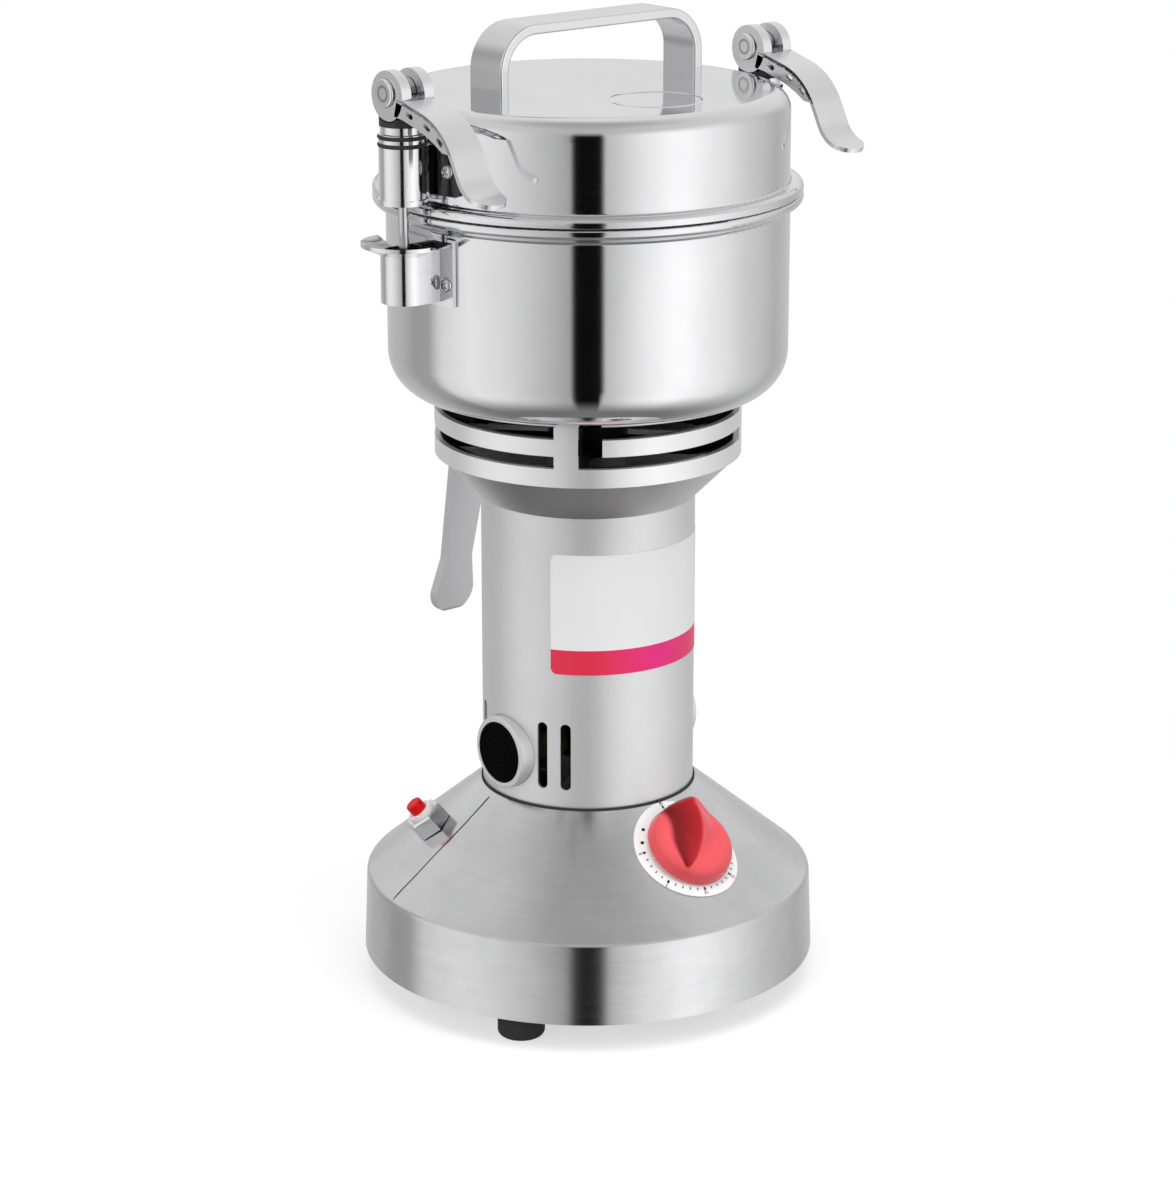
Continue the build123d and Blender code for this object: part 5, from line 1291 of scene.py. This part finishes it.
@dataclass
class Lever(Part):
    """A cam lever: a forked cam head, and a bent strap with pierced cheeks.

    Each fold is a straight run, the radius of the bend after it and the bend's turn in degrees. Each
    hole is its reach, its height and its tilt in degrees.
    """

    side: str
    body: Body
    axis_x: float
    width: float = 0.015
    sheet: float = 0.0018
    ear: float = 0.0044
    ear_steps: int = 64
    cam: Pair = (0.00077, -0.00092)
    cam_radius: float = 0.0095
    pin_radius: float = 0.0026
    strap_start: Pair = (0.0068, -0.0016)
    strap_heading: float = -15.0
    folds: tuple[Point, ...] = ((0.0160, 0.027, -47.0), (0.0086, 0.014, 45.0), (0.0065, 0.014, 0.0))
    slices: int = 44
    tip_share: float = 0.49
    tip_steps: int = 10
    cheek_end: float = 0.0370
    cheek_steps: int = 14
    cheek_foot: tuple[Pair, ...] = (
        (0.0340, -0.0178), (0.0295, -0.0152), (0.0225, -0.0121), (0.0107, -0.0088), (0.0050, -0.0080),
    )
    holes: tuple[Point, ...] = (
        (0.0145, -0.0066, -20.0), (0.0250, -0.0096, -24.0), (0.0325, -0.0140, -40.0),
    )
    hole_length: float = 0.0042
    hole_width: float = 0.0020
    hole_steps: int = 16

    def along(self, distance: float) -> tuple[Vector, Vector]:
        """Returns the strap's middle line at a distance along it.

        Args:
            distance: the distance from the strap's start.

        Returns:
            The point, and the direction, in reach and height.
        """
        point, heading = Vector(self.strap_start), math.radians(self.strap_heading)
        for straight, radius, turn in self.folds:
            run = min(distance, straight)
            point += Vector((math.cos(heading), math.sin(heading))) * run
            distance -= run
            bend = math.copysign(min(distance / radius, math.radians(abs(turn))), turn)
            if distance <= 0 or turn == 0:
                break
            chord = 2 * radius * math.sin(abs(bend) / 2)
            point += Vector((math.cos(heading + bend / 2), math.sin(heading + bend / 2))) * chord
            heading += bend
            distance -= abs(bend) * radius
        return point, Vector((math.cos(heading), math.sin(heading)))

    def strap(self) -> Mesh:
        """Returns the strap, cut flat with a round end and bent along its line."""
        length = sum(straight + radius * math.radians(abs(turn)) for straight, radius, turn in self.folds)
        tip = self.width * self.tip_share
        mesh = strip((0.0, length), self.width, self.sheet, tip, self.tip_steps, self.slices, foot=True)
        for corner in mesh.verts:
            point, way = self.along(corner.co.x)
            lift = corner.co.z - self.sheet / 2
            corner.co = (corner.co.y, -(point.x - way.y * lift), point.y + way.x * lift)
        bmesh.ops.recalc_face_normals(mesh, faces=mesh.faces[:])
        return mesh

    def cheek(self) -> Mesh:
        """Returns one cheek in X and Y, with its three long holes."""
        steps = range(self.cheek_steps + 1)
        edge = [tuple(self.along(self.cheek_end * step / self.cheek_steps)[0]) for step in steps]
        cheek = plate([*edge, *self.cheek_foot], self.sheet)
        ends = {"radius1": self.hole_width / 2, "radius2": self.hole_width / 2, "depth": 4 * self.sheet}
        for reach, height, tilt in self.holes:
            hole = bmesh.new()
            bmesh.ops.create_cone(hole, cap_ends=True, segments=self.hole_steps, **ends)
            for corner in hole.verts:
                corner.co.x += math.copysign((self.hole_length - self.hole_width) / 2, corner.co.x)
            bmesh.ops.rotate(hole, matrix=Matrix.Rotation(math.radians(tilt), 3, "Z"), verts=hole.verts[:])
            bmesh.ops.translate(hole, vec=(reach, height, 0), verts=hole.verts[:])
            cheek = combined(cheek, hole, "DIFFERENCE")
        return cheek

    def head(self) -> Mesh:
        """Returns both cheeks and the cam head's two ears, side by side along X."""
        cheek = self.cheek()
        ear = hoop(self.pin_radius, self.cam_radius, 0.0, self.ear, self.ear_steps)
        # Reach goes to the mill's front, height stays up, and the sheet's thickness goes along X.
        upright = Matrix(((0, 0, 1, 0), (-1, 0, 0, 0), (0, 1, 0, 0), (0, 0, 0, 1)))
        mesh = bmesh.new()
        half = self.width / 2
        for ear_x, cheek_x in ((-half, -half), (half - self.ear, half - self.sheet)):
            add_copy(mesh, ear, Matrix.Translation((ear_x, -self.cam[0], self.cam[1])) @ upright)
            add_copy(mesh, cheek, Matrix.Translation((cheek_x, 0, 0)) @ upright)
        cheek.free()
        ear.free()
        return mesh

    def build(self) -> None:
        """Builds the lever in place of its CAD node."""
        mesh = combined(self.strap(), self.head(), "UNION")
        bmesh.ops.translate(mesh, vec=(self.axis_x, 0, CLAMP_PIN_Z), verts=mesh.verts[:])
        node = f"{self.side}_clamp_lever"
        new_piece(f"{node}_forged", mesh, self.body, LEVER_STEEL, (node,))


@dataclass
class Clamps(Assembly):
    """Both cam clamps, with their rubber rings and the screws of their barrels and catches."""

    parts: tuple[Part, ...] = (
        Lever("left", Body.LEFT_LEVER, -CLAMP_X),
        Lever("right", Body.RIGHT_LEVER, CLAMP_X),
        CrossScrews("barrel_screws", Body.LID, 9.584, 0.3465, 0.08145),
        CrossScrews("catch_screws", Body.FRAME, 8.597, 0.3030, 0.08135),
    )
    finishes: Dressing = (
        (BARREL_CHROME, "left_clamp_barrel", "right_clamp_barrel"),
        (CLAMP_CHROME, "left_clamp_collar", "right_clamp_collar"),
        (RIVET_CHROME, "left_clamp_pin", "right_clamp_pin"),
        (FASTENER_ZINC, "left_clamp_rod", "right_clamp_rod"),
        (BLACK_PLASTIC, "left_clamp_washer", "right_clamp_washer"),
        (RUBBER, "clamp_o_rings"),
    )


# ---------------------------------------------------------------- the studio


@dataclass
class Studio(Part):
    """Floor, lamps, surroundings and camera.

    Each card is an azimuth in degrees, seen from the camera's side, and its grey level. The spans are
    the elevations in degrees over which one set of cards gives way to the next.
    """

    camera_at: Point = (-0.9036, -1.0769, 0.5955)
    camera_to: Point = (0, 0, 0.159)
    lens: float = 108.5
    sensor: float = 36.0
    clip: Pair = (0.05, 50.0)
    floor_half: float = 3.0
    floor_glow: float = 0.62
    floor_paint: float = 0.40
    floor_fade: Pair = (0.16, 0.45)
    sky: float = 0.62
    wall_cards: tuple[Pair, ...] = (
        (-180, 0.62), (-133, 0.52), (-117, 0.40), (-103, 0.42), (-92, 0.82), (-70, 0.98),
        (-50, 0.86), (-38, 0.74), (-15, 0.50), (-9.5, 0.42), (-8.0, 0.004), (8.0, 0.004),
        (9.5, 0.60), (15, 0.69), (30, 0.98), (48, 1.22), (58, 1.22), (72, 1.05),
        (85, 0.94), (100, 0.76), (115, 0.66), (133, 0.52), (160, 0.60), (180, 0.62),
    )
    upper_cards: tuple[Pair, ...] = (
        (-180, 0.84), (-122, 0.75), (-60, 0.70), (-10, 0.55),
        (10, 0.55), (60, 0.72), (122, 0.75), (180, 0.84),
    )
    front_to_back: Pair = (0.25, 0.45)
    upper_span: Pair = (18.0, 48.0)
    upper_span_back: Pair = (-4.0, 14.0)
    ceiling_span: Pair = (52.0, 84.0)
    ceiling: float = 0.45
    ground_span: Pair = (-32.0, -70.0)
    ground: float = 0.20
    lamp_to: Point = (0, 0, 0.2)
    lamps: tuple[tuple[str, Point, float, float], ...] = (
        ("overhead", (-0.2, -0.5, 1.9), 1.4, 20.0),
        ("left_card", (-1.7, -0.4, 0.9), 1.0, 9.0),
        ("right_card", (0.9, -1.6, 0.8), 1.0, 9.0),
    )

    def aim(self, thing: bpy.types.Object, place: Point, target: Point) -> None:
        """Stands a camera or a lamp at a place and turns it to a target."""
        thing.location = place
        thing.rotation_mode = "QUATERNION"
        thing.rotation_quaternion = (Vector(target) - Vector(place)).to_track_quat("-Z", "Y")

    def camera(self) -> None:
        """Makes the camera and looks through it."""
        data = bpy.data.cameras.new("camera")
        data.lens, data.sensor_width, data.sensor_fit = self.lens, self.sensor, "AUTO"
        data.clip_start, data.clip_end = self.clip
        eye = linked("camera", data)
        self.aim(eye, self.camera_at, self.camera_to)
        bpy.context.scene.camera = eye

    def floor(self) -> None:
        """Lays a plain white floor that keeps the shadow and that metal doesn't mirror."""
        mesh = bmesh.new()
        bmesh.ops.create_grid(mesh, x_segments=1, y_segments=1, size=self.floor_half)
        data = finished("floor", mesh)
        paper = bpy.data.materials.new("floor_paper")
        graph = cleared(paper)
        paint = graph.out("ShaderNodeBsdfDiffuse", {"Color": rgba(self.floor_paint)})
        glow = graph.out("ShaderNodeEmission", {"Color": rgba(1.0), "Strength": self.floor_glow})
        white = graph.out("ShaderNodeEmission", {"Color": rgba(1.0), "Strength": 1.0})
        x, y, _ = graph.split(graph.placed())
        faded = graph.length(x, y).between(*self.floor_fade)
        plain = graph.mix(faded, graph.out("ShaderNodeAddShader", {0: paint, 1: glow}), white)
        camera_ray, mirror_ray = graph.rays()
        seen = graph.mix(camera_ray, paint, plain)
        surface = graph.mix(mirror_ray, seen, graph.out("ShaderNodeBsdfTransparent"))
        graph.add("ShaderNodeOutputMaterial", {"Surface": surface})
        data.materials.append(paper)
        sheet = linked("floor", data)

    def surroundings(self) -> None:
        """Sets what the metal mirrors: pale cards, a dark card in front and a dim ceiling."""
        world = bpy.data.worlds.new("studio")
        bpy.context.scene.world = world
        graph = cleared(world)
        way = Value(graph, graph.add("ShaderNodeTexCoord").outputs["Generated"])
        slope = graph.math("ARCSINE", graph.split(way)[2])
        aim = Vector((self.camera_at[0], self.camera_at[1], 0)).normalized()
        toward, sideways = graph.dot(way, aim), graph.dot(way, Vector((-aim.y, aim.x, 0)))
        turn = graph.math("ARCTAN2", sideways, toward) / math.tau + 0.5
        wall, upper = (graph.ramp(turn, self.ring(cards)) for cards in (self.wall_cards, self.upper_cards))
        off_front = abs(turn - 0.5)
        start, end = (
            off_front.between(*self.front_to_back, math.radians(front), math.radians(back))
            for front, back in zip(self.upper_span, self.upper_span_back)
        )
        lifted = graph.blend(slope.between(start, end), wall, upper)
        roofed = graph.blend(slope.between(*map(math.radians, self.ceiling_span)), lifted, self.ceiling)
        mirrored = graph.blend(slope.between(*map(math.radians, self.ground_span)), roofed, self.ground)
        camera_ray, mirror_ray = graph.rays()
        seen = graph.blend(camera_ray, graph.blend(mirror_ray, self.sky, mirrored), 1.0)
        light = graph.out("ShaderNodeBackground", {"Color": seen, "Strength": 1.0})
        graph.add("ShaderNodeOutputWorld", {"Surface": light})

    def ring(self, cards: Iterable[Pair]) -> list[Pair]:
        """Returns ramp stops from azimuths in degrees."""
        return [(azimuth / 360.0 + 0.5, level) for azimuth, level in cards]

    def lamp(self, name: str, place: Point, size: float, power: float) -> None:
        """Adds a soft lamp that metal doesn't mirror, aimed at the mill's middle.

        Args:
            name: the lamp's name.
            place: where it stands.
            size: its side, in metres.
            power: its power, in watts.
        """
        data = bpy.data.lights.new(name, "AREA")
        data.shape, data.size, data.energy = "SQUARE", size, power
        lamp = linked(name, data)
        self.aim(lamp, place, self.lamp_to)
        lamp.visible_glossy = False
        lamp.visible_camera = False

    def build(self) -> None:
        """Sets up the whole studio."""
        bpy.context.scene.view_settings.view_transform = "Standard"
        self.camera()
        self.floor()
        self.surroundings()
        for name, place, size, power in self.lamps:
            self.lamp(name, place, size, power)


def main() -> None:
    """Builds the studio and every part of the mill."""
    logging.basicConfig(level=logging.INFO, format="%(name)s %(message)s")
    mill = (Base(), Timer(), Overload(), MotorTube(), Motor(), Neck(), Bowl(), Lid(), Clamps())
    for assembly in (Studio(), *mill):
        assembly.build()
        log.info("%s done", type(assembly).__name__)
    bpy.context.view_layer.update()


if __name__ == "__main__":
    main()
